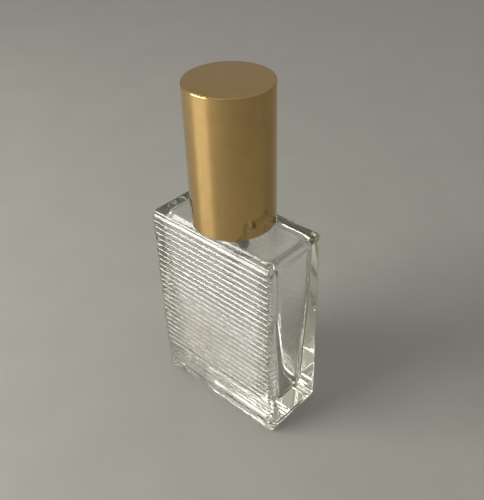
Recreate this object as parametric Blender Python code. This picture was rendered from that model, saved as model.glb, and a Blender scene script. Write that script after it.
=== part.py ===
"""Ribbed glass perfume bottle with a crimped fine-mist pump and a gold push-on cap.

Metres, +Z up. The origin is the centre of the base, on the surface that the bottle stands on.
The ribbed face looks along -Y, the plain back along +Y, and the neck, the pump and the cap
share the Z axis, which is also the axis of every moving piece.
"""

import math

import bmesh
import bpy
from mathutils import Matrix

# Fits and cuts
SEAT_GAP = 0.0002
CUT_OVERRUN = 0.001
WELD_DISTANCE = 0.000001

# Bottle body, with its depth over the rib crests
BOTTLE_WIDTH = 0.0378
BOTTLE_DEPTH = 0.0190
BODY_HEIGHT = 0.0532
FRONT_CORNER_RADIUS = 0.0010
BACK_CORNER_RADIUS = 0.0018
EDGE_RADIUS = 0.0013
LEAST_RADIUS = 0.0001

# Walls of the blown inside, thin at the top and thicker from a height down to the floor
BASE_THICKNESS = 0.0072
SHOULDER_THICKNESS = 0.0018
UPPER_SIDE_WALL = 0.0019
UPPER_FRONT_WALL = 0.0017
UPPER_BACK_WALL = 0.0020
LOWER_SIDE_WALL = 0.0034
LOWER_FRONT_WALL = 0.0034
LOWER_BACK_WALL = 0.0040
THICKENING_HEIGHT = 0.0328
CAVITY_CORNER_RADIUS = 0.0030
CAVITY_FLOOR_RADIUS = 0.0026
CAVITY_ROOF_RADIUS = 0.0018
PUSH_UP_DEPTH = 0.0006
BEARING_RIM = 0.0026

# Level ribs on the front
RIB_PITCH = 0.001645
RIB_HEIGHT = 0.0005
RIB_FIELD_MARGIN = 0.0010
RIB_RUNOUT = 0.0006
RIB_EMBED = 0.0013
RIB_WIDTH_SHARE = 0.94
RIB_FOOT_SHARE = 0.98

# Crimp neck, from the bore outwards
NECK_BORE_RADIUS = 0.0053
NECK_WALL = 0.0013
BEAD_PROUD = 0.0009
BEAD_HEIGHT = 0.0034
NECK_HEIGHT = 0.0086
NECK_EMBED = 0.0012
NECK_FILLET = 0.0006
LIP_RADIUS = 0.0004

# Sheet metal and cap walls, from the bead outwards
FERRULE_WALL = 0.0003
COLLAR_WALL = 0.0004
LINER_WALL = 0.0006
CAP_WALL = 0.0004
SHEET_CORNER = 0.0006
CAP_CORNER = 0.0008

# Flanges stacked on the glass lip
GASKET_THICKNESS = 0.0008
HOUSING_FLANGE_THICKNESS = 0.0009
TURRET_FLANGE_THICKNESS = 0.0008
FLANGE_INSET = 0.0003
CRIMP_TURN_IN = 0.0011

# Pump housing, turret and stem seal
NECK_CLEARANCE = 0.0006
UPPER_HOUSING_WALL = 0.0008
PISTON_BORE_RADIUS = 0.0025
HOUSING_WALL = 0.0009
HOUSING_TAPER = 0.0014
VENT_RADIUS = 0.0004
TURRET_SLEEVE_WALL = 0.0006
TURRET_SLEEVE_LENGTH = 0.0033
TURRET_BOSS_WALL = 0.0016
TURRET_BOSS_RISE = 0.0006
SEAL_THICKNESS = 0.0007

# Stem, pin, piston and springs
STROKE = 0.0040
PRESS_CLEARANCE = 0.0004
STEM_RADIUS = 0.0015
STEM_BORE_RADIUS = 0.0007
STEM_FLANGE_THICKNESS = 0.0012
STEM_REACH = 0.0065
PIN_RADIUS = 0.0008
PIN_PLUG_LENGTH = 0.0026
PIN_HEAD_HEIGHT = 0.0016
PIN_HEAD_RIM = 0.0005
PIN_HEAD_CLEARANCE = 0.0004
FLUTE_WIDTH = 0.0005
FLUTE_DEPTH = 0.00025
FLUTE_COUNT = 4
PISTON_HEIGHT = 0.0029
PISTON_LIP = 0.0004
PISTON_DISH = 0.0005
PRECOMPRESSION_SPRING_LENGTH = 0.0030
PRECOMPRESSION_SPRING_RADIUS = 0.0014
PRECOMPRESSION_WIRE_RADIUS = 0.00015
PRECOMPRESSION_SPRING_TURNS = 3.5
RETURN_SPRING_LENGTH = 0.0082
RETURN_SPRING_RADIUS = 0.0016
RETURN_WIRE_RADIUS = 0.0002
RETURN_SPRING_TURNS = 6.5

# Inlet valve and dip tube
BALL_RADIUS = 0.00125
CAGE_CLEARANCE = 0.00025
CAGE_HEIGHT = 0.0020
SNAP_RING_HEIGHT = 0.0006
SNAP_RING_BITE = 0.00015
PORT_RADIUS = 0.0006
PORT_LENGTH = 0.0007
TUBE_RADIUS = 0.0008
TUBE_BORE_RADIUS = 0.0005
TUBE_SOCKET_LENGTH = 0.0040
TUBE_SLANT = 0.0008
TUBE_CLEARANCE = 0.0008

# Actuator
ACTUATOR_RADIUS = 0.0069
ACTUATOR_HEIGHT = 0.0126
ACTUATOR_CLEARANCE = 0.00025
ACTUATOR_WALL = 0.00035
CORE_FOOT_RISE = 0.0005
CORE_SKIRT_WALL = 0.0008
CORE_HOLLOW_HEIGHT = 0.0045
CORE_BOSS_WALL = 0.0011
CHANNEL_RADIUS = 0.0006
NOZZLE_RISE = 0.0086
NOZZLE_RADIUS = 0.0020
NOZZLE_LENGTH = 0.0022
NOZZLE_WINDOW_MARGIN = 0.0004
NOZZLE_SINK = 0.00015
NOZZLE_FACE_WALL = 0.0007
NOZZLE_CUP_WALL = 0.0007
ORIFICE_RADIUS = 0.0002
ORIFICE_DIMPLE_RADIUS = 0.0008
ORIFICE_DIMPLE_DEPTH = 0.0003

# Cap
CAP_RIM_GAP = 0.00125
CAP_HEADROOM = 0.0048
LINER_ROOF = 0.0008
LINER_RIB_COUNT = 8
LINER_RIB_WIDTH = 0.0007
LINER_RIB_EMBED = 0.0003
LINER_RIB_CLEARANCE = 0.0008
COLLAR_LIP_DROP = 0.0003

# Facets
LARGE_STEPS = 40
MEDIUM_STEPS = 28
SMALL_STEPS = 16
BALL_RINGS = 8
EDGE_STEPS = 4
CAVITY_STEPS = 6
CAVITY_ROWS = 8
CORNER_STEPS = 3
RIB_ARC_STEPS = 6
RUNOUT_ANGLES = (0.0, 26.0, 55.0)
SPRING_POINTS_PER_TURN = 9
SHARP_ANGLE = math.radians(32.0)

# Bottle planes
FRONT_ROOT_Y = -BOTTLE_DEPTH / 2.0 + RIB_HEIGHT
BACK_Y = BOTTLE_DEPTH / 2.0
LIP_Z = BODY_HEIGHT + NECK_HEIGHT
BEAD_BOTTOM_Z = LIP_Z - BEAD_HEIGHT

# Radii from the neck bore out to the cap
NECK_RADIUS = NECK_BORE_RADIUS + NECK_WALL
BEAD_RADIUS = NECK_RADIUS + BEAD_PROUD
FERRULE_INNER = BEAD_RADIUS + SEAT_GAP
FERRULE_OUTER = FERRULE_INNER + FERRULE_WALL
COLLAR_HOLE_RADIUS = ACTUATOR_RADIUS + ACTUATOR_CLEARANCE
COLLAR_INNER = max(FERRULE_OUTER + SEAT_GAP, COLLAR_HOLE_RADIUS + SHEET_CORNER)
COLLAR_OUTER = COLLAR_INNER + COLLAR_WALL
LINER_INNER = COLLAR_OUTER + SEAT_GAP
LINER_OUTER = LINER_INNER + LINER_WALL
CAP_INNER = LINER_OUTER + SEAT_GAP
CAP_OUTER = CAP_INNER + CAP_WALL

# Radii from the neck bore in to the stem
FLANGE_RADIUS = BEAD_RADIUS - FLANGE_INSET
UPPER_HOUSING_OUTER = NECK_BORE_RADIUS - NECK_CLEARANCE
UPPER_HOUSING_INNER = UPPER_HOUSING_OUTER - UPPER_HOUSING_WALL
SLEEVE_OUTER = UPPER_HOUSING_INNER - SEAT_GAP
SLEEVE_INNER = SLEEVE_OUTER - TURRET_SLEEVE_WALL
GUIDE_RADIUS = STEM_RADIUS + SEAT_GAP
TURRET_BOSS_RADIUS = GUIDE_RADIUS + TURRET_BOSS_WALL
PISTON_RADIUS = PISTON_BORE_RADIUS - SEAT_GAP
PIN_SOCKET_RADIUS = PIN_RADIUS + SEAT_GAP
PIN_HEAD_RADIUS = PISTON_BORE_RADIUS - PIN_HEAD_CLEARANCE
CAGE_RADIUS = BALL_RADIUS + CAGE_CLEARANCE
TUBE_SOCKET_RADIUS = TUBE_RADIUS + SEAT_GAP

# Heights of the stack on the lip, going up
GASKET_Z = LIP_Z + SEAT_GAP
HOUSING_FLANGE_Z = GASKET_Z + GASKET_THICKNESS + SEAT_GAP
HOUSING_TOP_Z = HOUSING_FLANGE_Z + HOUSING_FLANGE_THICKNESS
TURRET_FLANGE_Z = HOUSING_TOP_Z + SEAT_GAP
FERRULE_PLATE_Z = TURRET_FLANGE_Z + TURRET_FLANGE_THICKNESS + SEAT_GAP
FERRULE_TOP_Z = FERRULE_PLATE_Z + FERRULE_WALL
ACTUATOR_Z = FERRULE_TOP_Z + PRESS_CLEARANCE + STROKE
ACTUATOR_TOP_Z = ACTUATOR_Z + ACTUATOR_HEIGHT
STEM_TOP_Z = ACTUATOR_Z + STEM_REACH
NOZZLE_Z = ACTUATOR_Z + NOZZLE_RISE
COLLAR_TOP_Z = ACTUATOR_Z - COLLAR_LIP_DROP
LINER_ROOF_Z = ACTUATOR_TOP_Z + CAP_HEADROOM
CAP_TOP_Z = LINER_ROOF_Z + LINER_ROOF + SEAT_GAP + CAP_WALL
CAP_BOTTOM_Z = BODY_HEIGHT + CAP_RIM_GAP

# Heights of the pump's inside, going down
SLEEVE_BOTTOM_Z = TURRET_FLANGE_Z - TURRET_SLEEVE_LENGTH
SEAL_TOP_Z = TURRET_FLANGE_Z - SEAT_GAP
STEM_FLANGE_TOP_Z = SEAL_TOP_Z - SEAL_THICKNESS - SEAT_GAP
STEM_BOTTOM_Z = STEM_FLANGE_TOP_Z - STEM_FLANGE_THICKNESS
PRECOMPRESSION_TOP_Z = STEM_BOTTOM_Z - SEAT_GAP
PRECOMPRESSION_BOTTOM_Z = PRECOMPRESSION_TOP_Z - PRECOMPRESSION_SPRING_LENGTH
PISTON_TOP_Z = PRECOMPRESSION_BOTTOM_Z - SEAT_GAP + PISTON_DISH
PISTON_BOTTOM_Z = PISTON_TOP_Z - PISTON_HEIGHT
PIN_CONE_TOP_Z = PISTON_BOTTOM_Z - SEAT_GAP
PIN_BOTTOM_Z = PIN_CONE_TOP_Z - PIN_HEAD_HEIGHT
RETURN_SPRING_TOP_Z = PIN_BOTTOM_Z - SEAT_GAP
RETURN_SPRING_BOTTOM_Z = RETURN_SPRING_TOP_Z - RETURN_SPRING_LENGTH
LEDGE_Z = RETURN_SPRING_BOTTOM_Z - SEAT_GAP
CAGE_TOP_Z = LEDGE_Z - SNAP_RING_HEIGHT
CONE_TOP_Z = CAGE_TOP_Z - CAGE_HEIGHT
CONE_BOTTOM_Z = CONE_TOP_Z - (CAGE_RADIUS - PORT_RADIUS)
TUBE_SOCKET_TOP_Z = CONE_BOTTOM_Z - PORT_LENGTH
HOUSING_BOTTOM_Z = TUBE_SOCKET_TOP_Z - TUBE_SOCKET_LENGTH


def clear_scene():
    for obj in list(bpy.data.objects):
        bpy.data.objects.remove(obj, do_unlink=True)


def link(name, data):
    obj = bpy.data.objects.new(name, data)
    bpy.context.scene.collection.objects.link(obj)
    return obj


def mesh_object(name, bm):
    """Turns a bmesh into an object with its faces out and its round faces smooth."""
    bmesh.ops.remove_doubles(bm, verts=bm.verts, dist=WELD_DISTANCE)
    bmesh.ops.recalc_face_normals(bm, faces=bm.faces)
    mesh = bpy.data.meshes.new(name)
    bm.to_mesh(mesh)
    bm.free()
    mesh.shade_smooth()
    mesh.set_sharp_from_angle(angle=SHARP_ANGLE)
    return link(name, mesh)


def paint(obj, colour, roughness, metallic=0.0, transmission=0.0):
    """Gives an object its own Principled material."""
    material = bpy.data.materials.new(obj.name)
    material.use_nodes = True
    shader = material.node_tree.nodes["Principled BSDF"]
    shader.inputs["Base Color"].default_value = (*colour, 1.0)
    shader.inputs["Roughness"].default_value = roughness
    shader.inputs["Metallic"].default_value = metallic
    shader.inputs["Transmission Weight"].default_value = transmission
    obj.data.materials.append(material)


def combine(target, tool, operation):
    """Adds a Boolean to the target, whose tool stays in the file as a hidden guide."""
    modifier = target.modifiers.new(tool.name, "BOOLEAN")
    modifier.operation = operation
    modifier.solver = "EXACT"
    modifier.object = tool
    tool.hide_render = True
    tool.display_type = "WIRE"


def arc(centre, radius, start, end, steps=CORNER_STEPS):
    """Points of an arc in the (radius, height) plane, with its angles in degrees."""
    points = []
    for step in range(steps + 1):
        angle = math.radians(start + (end - start) * step / steps)
        points.append((centre[0] + radius * math.cos(angle), centre[1] + radius * math.sin(angle)))
    return points


def lathe(name, outline, steps):
    """Turns an outline of (radius, height) points round Z. One that ends on the axis is solid."""
    bm = bmesh.new()
    verts = [bm.verts.new((radius, 0.0, height)) for radius, height in outline]
    edges = [bm.edges.new(pair) for pair in zip(verts, verts[1:])]
    if outline[0][0] > 0.0:
        edges.append(bm.edges.new((verts[-1], verts[0])))
    bmesh.ops.spin(
        bm,
        geom=verts + edges,
        cent=(0.0, 0.0, 0.0),
        axis=(0.0, 0.0, 1.0),
        angle=math.tau,
        steps=steps,
        use_merge=True,
    )
    return mesh_object(name, bm)


def towards_front(obj, height):
    """Swings a turned piece from +Z round to -Y and lifts it to a height."""
    turn = Matrix.Rotation(math.radians(90.0), 4, "X")
    obj.data.transform(Matrix.Translation((0.0, 0.0, height)) @ turn)


def box_verts(bm, low, high):
    """Adds a box between two corners and returns its corners."""
    size = [top - bottom for bottom, top in zip(low, high)]
    middle = [(top + bottom) / 2.0 for bottom, top in zip(low, high)]
    placed = Matrix.Translation(middle) @ Matrix.Diagonal((*size, 1.0))
    return bmesh.ops.create_cube(bm, size=1.0, matrix=placed)["verts"]


def rounded_outline(half_width, front_y, back_y, front_radius, back_radius, inset, steps):
    """Points round a rectangle with rounded corners, which is drawn in by an inset."""
    points = []
    for start in (0.0, 90.0, 180.0, 270.0):
        behind = start < 180.0
        radius = max(LEAST_RADIUS, (back_radius if behind else front_radius) - inset)
        x = (half_width - inset - radius) * (1.0 if start in (0.0, 270.0) else -1.0)
        y = back_y - inset - radius if behind else front_y + inset + radius
        points += arc((x, y), radius, start, start + 90.0, steps)
    return points


def loft(name, outlines):
    """Closed solid through (outline, height) sections that have the same number of points."""
    bm = bmesh.new()
    rings = [[bm.verts.new((x, y, height)) for x, y in outline] for outline, height in outlines]
    for near, far in zip(rings, rings[1:]):
        for index in range(len(near)):
            after = (index + 1) % len(near)
            bm.faces.new((near[index], near[after], far[after], far[index]))
    bm.faces.new(rings[0])
    bm.faces.new(rings[-1])
    return mesh_object(name, bm)


def rounded_rise(radius, steps):
    """(height, inset) pairs of a quarter round, from its foot in the level face up to the wall."""
    pairs = []
    for step in range(steps + 1):
        angle = math.pi / 2.0 * step / steps
        pairs.append((radius * (1.0 - math.cos(angle)), radius * (1.0 - math.sin(angle))))
    return pairs


def rib_section(pitch, height):
    """Half-round section of a rib: (across, out) points, then its two corners in the body."""
    half_width = RIB_WIDTH_SHARE * pitch / 2.0
    radius = (half_width**2 + height**2) / (2.0 * height)
    foot = math.asin(RIB_FOOT_SHARE * pitch / 2.0 / radius)
    points = []
    for step in range(RIB_ARC_STEPS + 1):
        angle = foot * (2.0 * step / RIB_ARC_STEPS - 1.0)
        points.append((radius * math.sin(angle), height - radius * (1.0 - math.cos(angle))))
    across = points[-1][0]
    return points + [(across, -RIB_EMBED), (-across, -RIB_EMBED)]


def rib_stations(half_length, edge_radius):
    """(along, drop) places where a rib's crest turns round into the edges at its two ends."""
    radius = edge_radius + RIB_RUNOUT
    ends = []
    for degrees in RUNOUT_ANGLES:
        angle = math.radians(degrees)
        ends.append((half_length - radius * (1.0 - math.sin(angle)), radius * (1.0 - math.cos(angle))))
    return [(-along, drop) for along, drop in reversed(ends)] + ends


def level_ribs():
    """Ribs across the whole front, one above the other, which run out round its corners."""
    count = int((BODY_HEIGHT - 2.0 * RIB_FIELD_MARGIN) / RIB_PITCH)
    section = rib_section(RIB_PITCH, RIB_HEIGHT)
    bm = bmesh.new()
    for index in range(count):
        centre = BODY_HEIGHT / 2.0 + (index - (count - 1) / 2.0) * RIB_PITCH
        rings = []
        for along, drop in rib_stations(BOTTLE_WIDTH / 2.0, FRONT_CORNER_RADIUS):
            ring = []
            for across, out in section:
                sunk = out - drop if out > -RIB_EMBED else out
                ring.append(bm.verts.new((along, FRONT_ROOT_Y - sunk, centre + across)))
            rings.append(ring)
        for near, far in zip(rings, rings[1:]):
            for corner in range(len(section)):
                after = (corner + 1) % len(section)
                bm.faces.new((near[corner], near[after], far[after], far[corner]))
        bm.faces.new(rings[0])
        bm.faces.new(rings[-1])
    return mesh_object("level_ribs", bm)


def neck_blank():
    """Neck with its foot fillet and crimp bead, turned solid."""
    slope_bottom = BEAD_BOTTOM_Z - BEAD_PROUD
    fillet = arc((NECK_RADIUS + NECK_FILLET, BODY_HEIGHT + NECK_FILLET), NECK_FILLET, 270.0, 180.0)
    lip = arc((BEAD_RADIUS - LIP_RADIUS, LIP_Z - LIP_RADIUS), LIP_RADIUS, 0.0, 90.0)
    foot = [(0.0, BODY_HEIGHT - NECK_EMBED), (NECK_RADIUS + NECK_FILLET, BODY_HEIGHT - NECK_EMBED)]
    side = [(NECK_RADIUS, slope_bottom), (BEAD_RADIUS, BEAD_BOTTOM_Z)]
    return lathe("neck_blank", foot + fillet + side + lip + [(0.0, LIP_Z)], LARGE_STEPS)


def neck_bore():
    """Cutter for the bore, wider at the lip by its rounding."""
    low = BODY_HEIGHT - SHOULDER_THICKNESS - CUT_OVERRUN
    mouth = arc((NECK_BORE_RADIUS + LIP_RADIUS, LIP_Z - LIP_RADIUS), LIP_RADIUS, 180.0, 90.0)
    top = [(NECK_BORE_RADIUS + LIP_RADIUS, LIP_Z + CUT_OVERRUN), (0.0, LIP_Z + CUT_OVERRUN)]
    return lathe("neck_bore", [(0.0, low), (NECK_BORE_RADIUS, low)] + mouth + top, LARGE_STEPS)


def walls(height):
    """Thickness of the side, front and back walls at a height."""
    share = min(1.0, (height - BASE_THICKNESS) / THICKENING_HEIGHT)
    share = share * share * (3.0 - 2.0 * share)
    lower = (LOWER_SIDE_WALL, LOWER_FRONT_WALL, LOWER_BACK_WALL)
    upper = (UPPER_SIDE_WALL, UPPER_FRONT_WALL, UPPER_BACK_WALL)
    return [thick + (thin - thick) * share for thick, thin in zip(lower, upper)]


def cavity():
    """Cutter for the blown inside."""
    roof_z = BODY_HEIGHT - SHOULDER_THICKNESS
    floor = rounded_rise(CAVITY_FLOOR_RADIUS, CAVITY_STEPS)
    places = [(BASE_THICKNESS + rise, inset) for rise, inset in floor]
    low_z = places[-1][0]
    high_z = roof_z - CAVITY_ROOF_RADIUS
    places += [(low_z + (high_z - low_z) * row / CAVITY_ROWS, 0.0) for row in range(1, CAVITY_ROWS)]
    roof = [(roof_z - rise, inset) for rise, inset in rounded_rise(CAVITY_ROOF_RADIUS, CAVITY_STEPS)]
    outlines = []
    for height, inset in places + roof[::-1]:
        side, front, back = walls(height)
        outline = rounded_outline(
            BOTTLE_WIDTH / 2.0 - side,
            FRONT_ROOT_Y + front,
            BACK_Y - back,
            CAVITY_CORNER_RADIUS,
            CAVITY_CORNER_RADIUS,
            inset,
            CAVITY_STEPS,
        )
        outlines.append((outline, height))
    return loft("cavity", outlines)


def push_up():
    """Cutter for the shallow hollow in the base that leaves a bearing rim."""
    outlines = []
    corner = reversed(rounded_rise(PUSH_UP_DEPTH / 2.0, CORNER_STEPS))
    places = [(-CUT_OVERRUN, 0.0)] + [(PUSH_UP_DEPTH - rise, inset) for rise, inset in corner]
    for height, inset in places:
        outline = rounded_outline(
            BOTTLE_WIDTH / 2.0 - BEARING_RIM,
            FRONT_ROOT_Y + BEARING_RIM,
            BACK_Y - BEARING_RIM,
            BEARING_RIM,
            BEARING_RIM,
            inset,
            CORNER_STEPS,
        )
        outlines.append((outline, height))
    return loft("push_up", outlines)


def make_bottle():
    edge = rounded_rise(EDGE_RADIUS, EDGE_STEPS)
    outlines = []
    for height, inset in edge + [(BODY_HEIGHT - rise, inset) for rise, inset in reversed(edge)]:
        outline = rounded_outline(
            BOTTLE_WIDTH / 2.0,
            FRONT_ROOT_Y,
            BACK_Y,
            FRONT_CORNER_RADIUS,
            BACK_CORNER_RADIUS,
            inset,
            EDGE_STEPS,
        )
        outlines.append((outline, height))
    bottle = loft("bottle", outlines)
    combine(bottle, level_ribs(), "UNION")
    combine(bottle, neck_blank(), "UNION")
    combine(bottle, cavity(), "DIFFERENCE")
    combine(bottle, neck_bore(), "DIFFERENCE")
    combine(bottle, push_up(), "DIFFERENCE")
    paint(bottle, (0.93, 0.94, 0.92), 0.02, transmission=1.0)


def washer(name, inner, outer, low, high, steps):
    return lathe(name, [(inner, low), (outer, low), (outer, high), (inner, high)], steps)


def make_gasket():
    inner = UPPER_HOUSING_OUTER + SEAT_GAP
    gasket = washer(
        "neck_gasket", inner, FLANGE_RADIUS, GASKET_Z, GASKET_Z + GASKET_THICKNESS, MEDIUM_STEPS
    )
    paint(gasket, (0.75, 0.75, 0.73), 0.7)


def make_ferrule():
    """Thin cap over the flanges, whose skirt is turned in under the slope of the bead."""
    hole = TURRET_BOSS_RADIUS + SEAT_GAP
    slant_gap = SEAT_GAP * math.sqrt(2.0)
    slant_wall = (SEAT_GAP + FERRULE_WALL) * math.sqrt(2.0)
    inner_bend = (FERRULE_INNER, BEAD_BOTTOM_Z + FERRULE_INNER - BEAD_RADIUS - slant_gap)
    outer_bend = (FERRULE_OUTER, BEAD_BOTTOM_Z + FERRULE_OUTER - BEAD_RADIUS - slant_wall)
    turn_in = min(CRIMP_TURN_IN, FERRULE_OUTER - NECK_RADIUS - FERRULE_WALL)
    outer_tip = (FERRULE_OUTER - turn_in, outer_bend[1] - turn_in)
    half_wall = FERRULE_WALL / math.sqrt(2.0)
    inner_tip = (outer_tip[0] - half_wall, outer_tip[1] + half_wall)
    top = arc((FERRULE_OUTER - SHEET_CORNER, FERRULE_TOP_Z - SHEET_CORNER), SHEET_CORNER, 90.0, 0.0)
    under = [(FERRULE_INNER, FERRULE_PLATE_Z - FERRULE_WALL)]
    under += [(FERRULE_INNER - FERRULE_WALL, FERRULE_PLATE_Z)]
    outline = [(hole, FERRULE_PLATE_Z), (hole, FERRULE_TOP_Z)] + top
    outline += [outer_bend, outer_tip, inner_tip, inner_bend] + under
    ferrule = lathe("crimp_ferrule", outline, LARGE_STEPS)
    paint(ferrule, (0.80, 0.80, 0.80), 0.35, metallic=1.0)


def make_collar():
    """Open gold sleeve that stands on the shoulder, with a lip turned in at its top."""
    foot_z = BODY_HEIGHT + SEAT_GAP
    under_z = COLLAR_TOP_Z - COLLAR_WALL
    top = arc((COLLAR_OUTER - SHEET_CORNER, COLLAR_TOP_Z - SHEET_CORNER), SHEET_CORNER, 0.0, 90.0)
    inside = [(COLLAR_HOLE_RADIUS, COLLAR_TOP_Z), (COLLAR_HOLE_RADIUS, under_z)]
    inside += [(COLLAR_INNER - COLLAR_WALL / 2.0, under_z)]
    inside += [(COLLAR_INNER, under_z - COLLAR_WALL / 2.0), (COLLAR_INNER, foot_z)]
    collar = lathe("collar", [(COLLAR_OUTER, foot_z)] + top + inside, LARGE_STEPS)
    paint(collar, (0.60, 0.44, 0.20), 0.25, metallic=1.0)


def housing_outside():
    """Outer side of the housing, from the flange's top down to the tail."""
    upper_foot_z = SLEEVE_BOTTOM_Z - SEAT_GAP - UPPER_HOUSING_WALL
    barrel = PISTON_BORE_RADIUS + HOUSING_WALL
    cage = CAGE_RADIUS + HOUSING_WALL
    tail = TUBE_SOCKET_RADIUS + HOUSING_WALL
    return [
        (FLANGE_RADIUS, HOUSING_TOP_Z),
        (FLANGE_RADIUS, HOUSING_FLANGE_Z),
        (UPPER_HOUSING_OUTER, HOUSING_FLANGE_Z),
        (UPPER_HOUSING_OUTER, upper_foot_z),
        (barrel, upper_foot_z - HOUSING_TAPER),
        (barrel, LEDGE_Z),
        (cage, LEDGE_Z - HOUSING_WALL),
        (cage, CONE_TOP_Z),
        (tail, CONE_BOTTOM_Z),
        (tail, HOUSING_BOTTOM_Z),
    ]


def housing_inside():
    """Inner side of the housing, from the dip tube socket up to the turret's seat."""
    snap = BALL_RADIUS - SNAP_RING_BITE
    seat_z = SLEEVE_BOTTOM_Z - SEAT_GAP
    return [
        (TUBE_SOCKET_RADIUS, HOUSING_BOTTOM_Z),
        (TUBE_SOCKET_RADIUS, TUBE_SOCKET_TOP_Z),
        (PORT_RADIUS, TUBE_SOCKET_TOP_Z),
        (PORT_RADIUS, CONE_BOTTOM_Z),
        (CAGE_RADIUS, CONE_TOP_Z),
        (CAGE_RADIUS, CAGE_TOP_Z),
        (snap, CAGE_TOP_Z),
        (snap, LEDGE_Z),
        (PISTON_BORE_RADIUS, LEDGE_Z),
        (PISTON_BORE_RADIUS, seat_z),
        (UPPER_HOUSING_INNER, seat_z),
        (UPPER_HOUSING_INNER, HOUSING_TOP_Z),
    ]


def vent_hole():
    """Cutter for the air vent through the housing's wall, below the turret."""
    vent = lathe(
        "vent_hole",
        [
            (0.0, PISTON_BORE_RADIUS - SEAT_GAP),
            (VENT_RADIUS, PISTON_BORE_RADIUS - SEAT_GAP),
            (VENT_RADIUS, NECK_BORE_RADIUS),
            (0.0, NECK_BORE_RADIUS),
        ],
        SMALL_STEPS,
    )
    towards_front(vent, PISTON_TOP_Z + VENT_RADIUS)
    return vent


def make_housing():
    housing = lathe("pump_housing", housing_outside() + housing_inside(), MEDIUM_STEPS)
    combine(housing, vent_hole(), "DIFFERENCE")
    paint(housing, (0.86, 0.87, 0.86), 0.3, transmission=0.6)


def make_turret():
    """Flanged bush: a sleeve down into the housing and a boss up through the ferrule."""
    boss_top_z = FERRULE_TOP_Z + TURRET_BOSS_RISE
    flange_top_z = TURRET_FLANGE_Z + TURRET_FLANGE_THICKNESS
    turret = lathe(
        "turret",
        [
            (GUIDE_RADIUS, boss_top_z),
            (TURRET_BOSS_RADIUS, boss_top_z),
            (TURRET_BOSS_RADIUS, flange_top_z),
            (FLANGE_RADIUS, flange_top_z),
            (FLANGE_RADIUS, TURRET_FLANGE_Z),
            (SLEEVE_OUTER, TURRET_FLANGE_Z),
            (SLEEVE_OUTER, SLEEVE_BOTTOM_Z),
            (SLEEVE_INNER, SLEEVE_BOTTOM_Z),
            (SLEEVE_INNER, TURRET_FLANGE_Z),
            (GUIDE_RADIUS, TURRET_FLANGE_Z),
        ],
        MEDIUM_STEPS,
    )
    paint(turret, (0.85, 0.85, 0.84), 0.4)


def make_stem_seal():
    seal = washer(
        "stem_seal",
        GUIDE_RADIUS,
        SLEEVE_INNER - SEAT_GAP,
        SEAL_TOP_Z - SEAL_THICKNESS,
        SEAL_TOP_Z,
        MEDIUM_STEPS,
    )
    paint(seal, (0.08, 0.08, 0.08), 0.7)


def make_upper_stem():
    """Hollow stem with a stop flange at its foot and a wider socket for the pin."""
    socket_top_z = STEM_BOTTOM_Z + PIN_PLUG_LENGTH + SEAT_GAP
    stem = lathe(
        "upper_stem",
        [
            (PIN_SOCKET_RADIUS, STEM_BOTTOM_Z),
            (PISTON_RADIUS, STEM_BOTTOM_Z),
            (PISTON_RADIUS, STEM_FLANGE_TOP_Z),
            (STEM_RADIUS, STEM_FLANGE_TOP_Z),
            (STEM_RADIUS, STEM_TOP_Z),
            (STEM_BORE_RADIUS, STEM_TOP_Z),
            (STEM_BORE_RADIUS, socket_top_z),
            (PIN_SOCKET_RADIUS, socket_top_z),
        ],
        SMALL_STEPS,
    )
    paint(stem, (0.88, 0.88, 0.87), 0.35)


def flutes():
    """Cutter for the grooves that let the liquid past the pin into the hollow stem."""
    bm = bmesh.new()
    low = (PIN_RADIUS - FLUTE_DEPTH, -FLUTE_WIDTH / 2.0, PISTON_BOTTOM_Z)
    high = (PIN_RADIUS + FLUTE_DEPTH, FLUTE_WIDTH / 2.0, STEM_BOTTOM_Z + PIN_PLUG_LENGTH + CUT_OVERRUN)
    for index in range(FLUTE_COUNT):
        corners = box_verts(bm, low, high)
        turn = Matrix.Rotation(math.tau * index / FLUTE_COUNT, 3, "Z")
        bmesh.ops.rotate(bm, cent=(0.0, 0.0, 0.0), matrix=turn, verts=corners)
    return mesh_object("flutes", bm)


def make_valve_stem():
    """Pin with a cone head that closes the piston's bore and carries the return spring."""
    pin = lathe(
        "valve_stem",
        [
            (0.0, PIN_BOTTOM_Z),
            (PIN_HEAD_RADIUS, PIN_BOTTOM_Z),
            (PIN_HEAD_RADIUS, PIN_BOTTOM_Z + PIN_HEAD_RIM),
            (PIN_RADIUS, PIN_CONE_TOP_Z),
            (PIN_RADIUS, STEM_BOTTOM_Z + PIN_PLUG_LENGTH),
            (0.0, STEM_BOTTOM_Z + PIN_PLUG_LENGTH),
        ],
        SMALL_STEPS,
    )
    combine(pin, flutes(), "DIFFERENCE")
    paint(pin, (0.88, 0.88, 0.87), 0.35)


def make_piston():
    """Sealing ring with a lip at each end, dished at the top for its spring."""
    waist = PISTON_RADIUS - PISTON_LIP
    dish = waist - PISTON_LIP / 2.0
    dish_z = PISTON_TOP_Z - PISTON_DISH
    piston = lathe(
        "piston",
        [
            (PIN_SOCKET_RADIUS, PISTON_BOTTOM_Z),
            (PISTON_RADIUS, PISTON_BOTTOM_Z),
            (PISTON_RADIUS, PISTON_BOTTOM_Z + PISTON_LIP),
            (waist, PISTON_BOTTOM_Z + 2.0 * PISTON_LIP),
            (waist, PISTON_TOP_Z - 2.0 * PISTON_LIP),
            (PISTON_RADIUS, PISTON_TOP_Z - PISTON_LIP),
            (PISTON_RADIUS, PISTON_TOP_Z),
            (waist, PISTON_TOP_Z),
            (dish, dish_z),
            (PIN_SOCKET_RADIUS, dish_z),
        ],
        MEDIUM_STEPS,
    )
    paint(piston, (0.90, 0.90, 0.90), 0.4)


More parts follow.
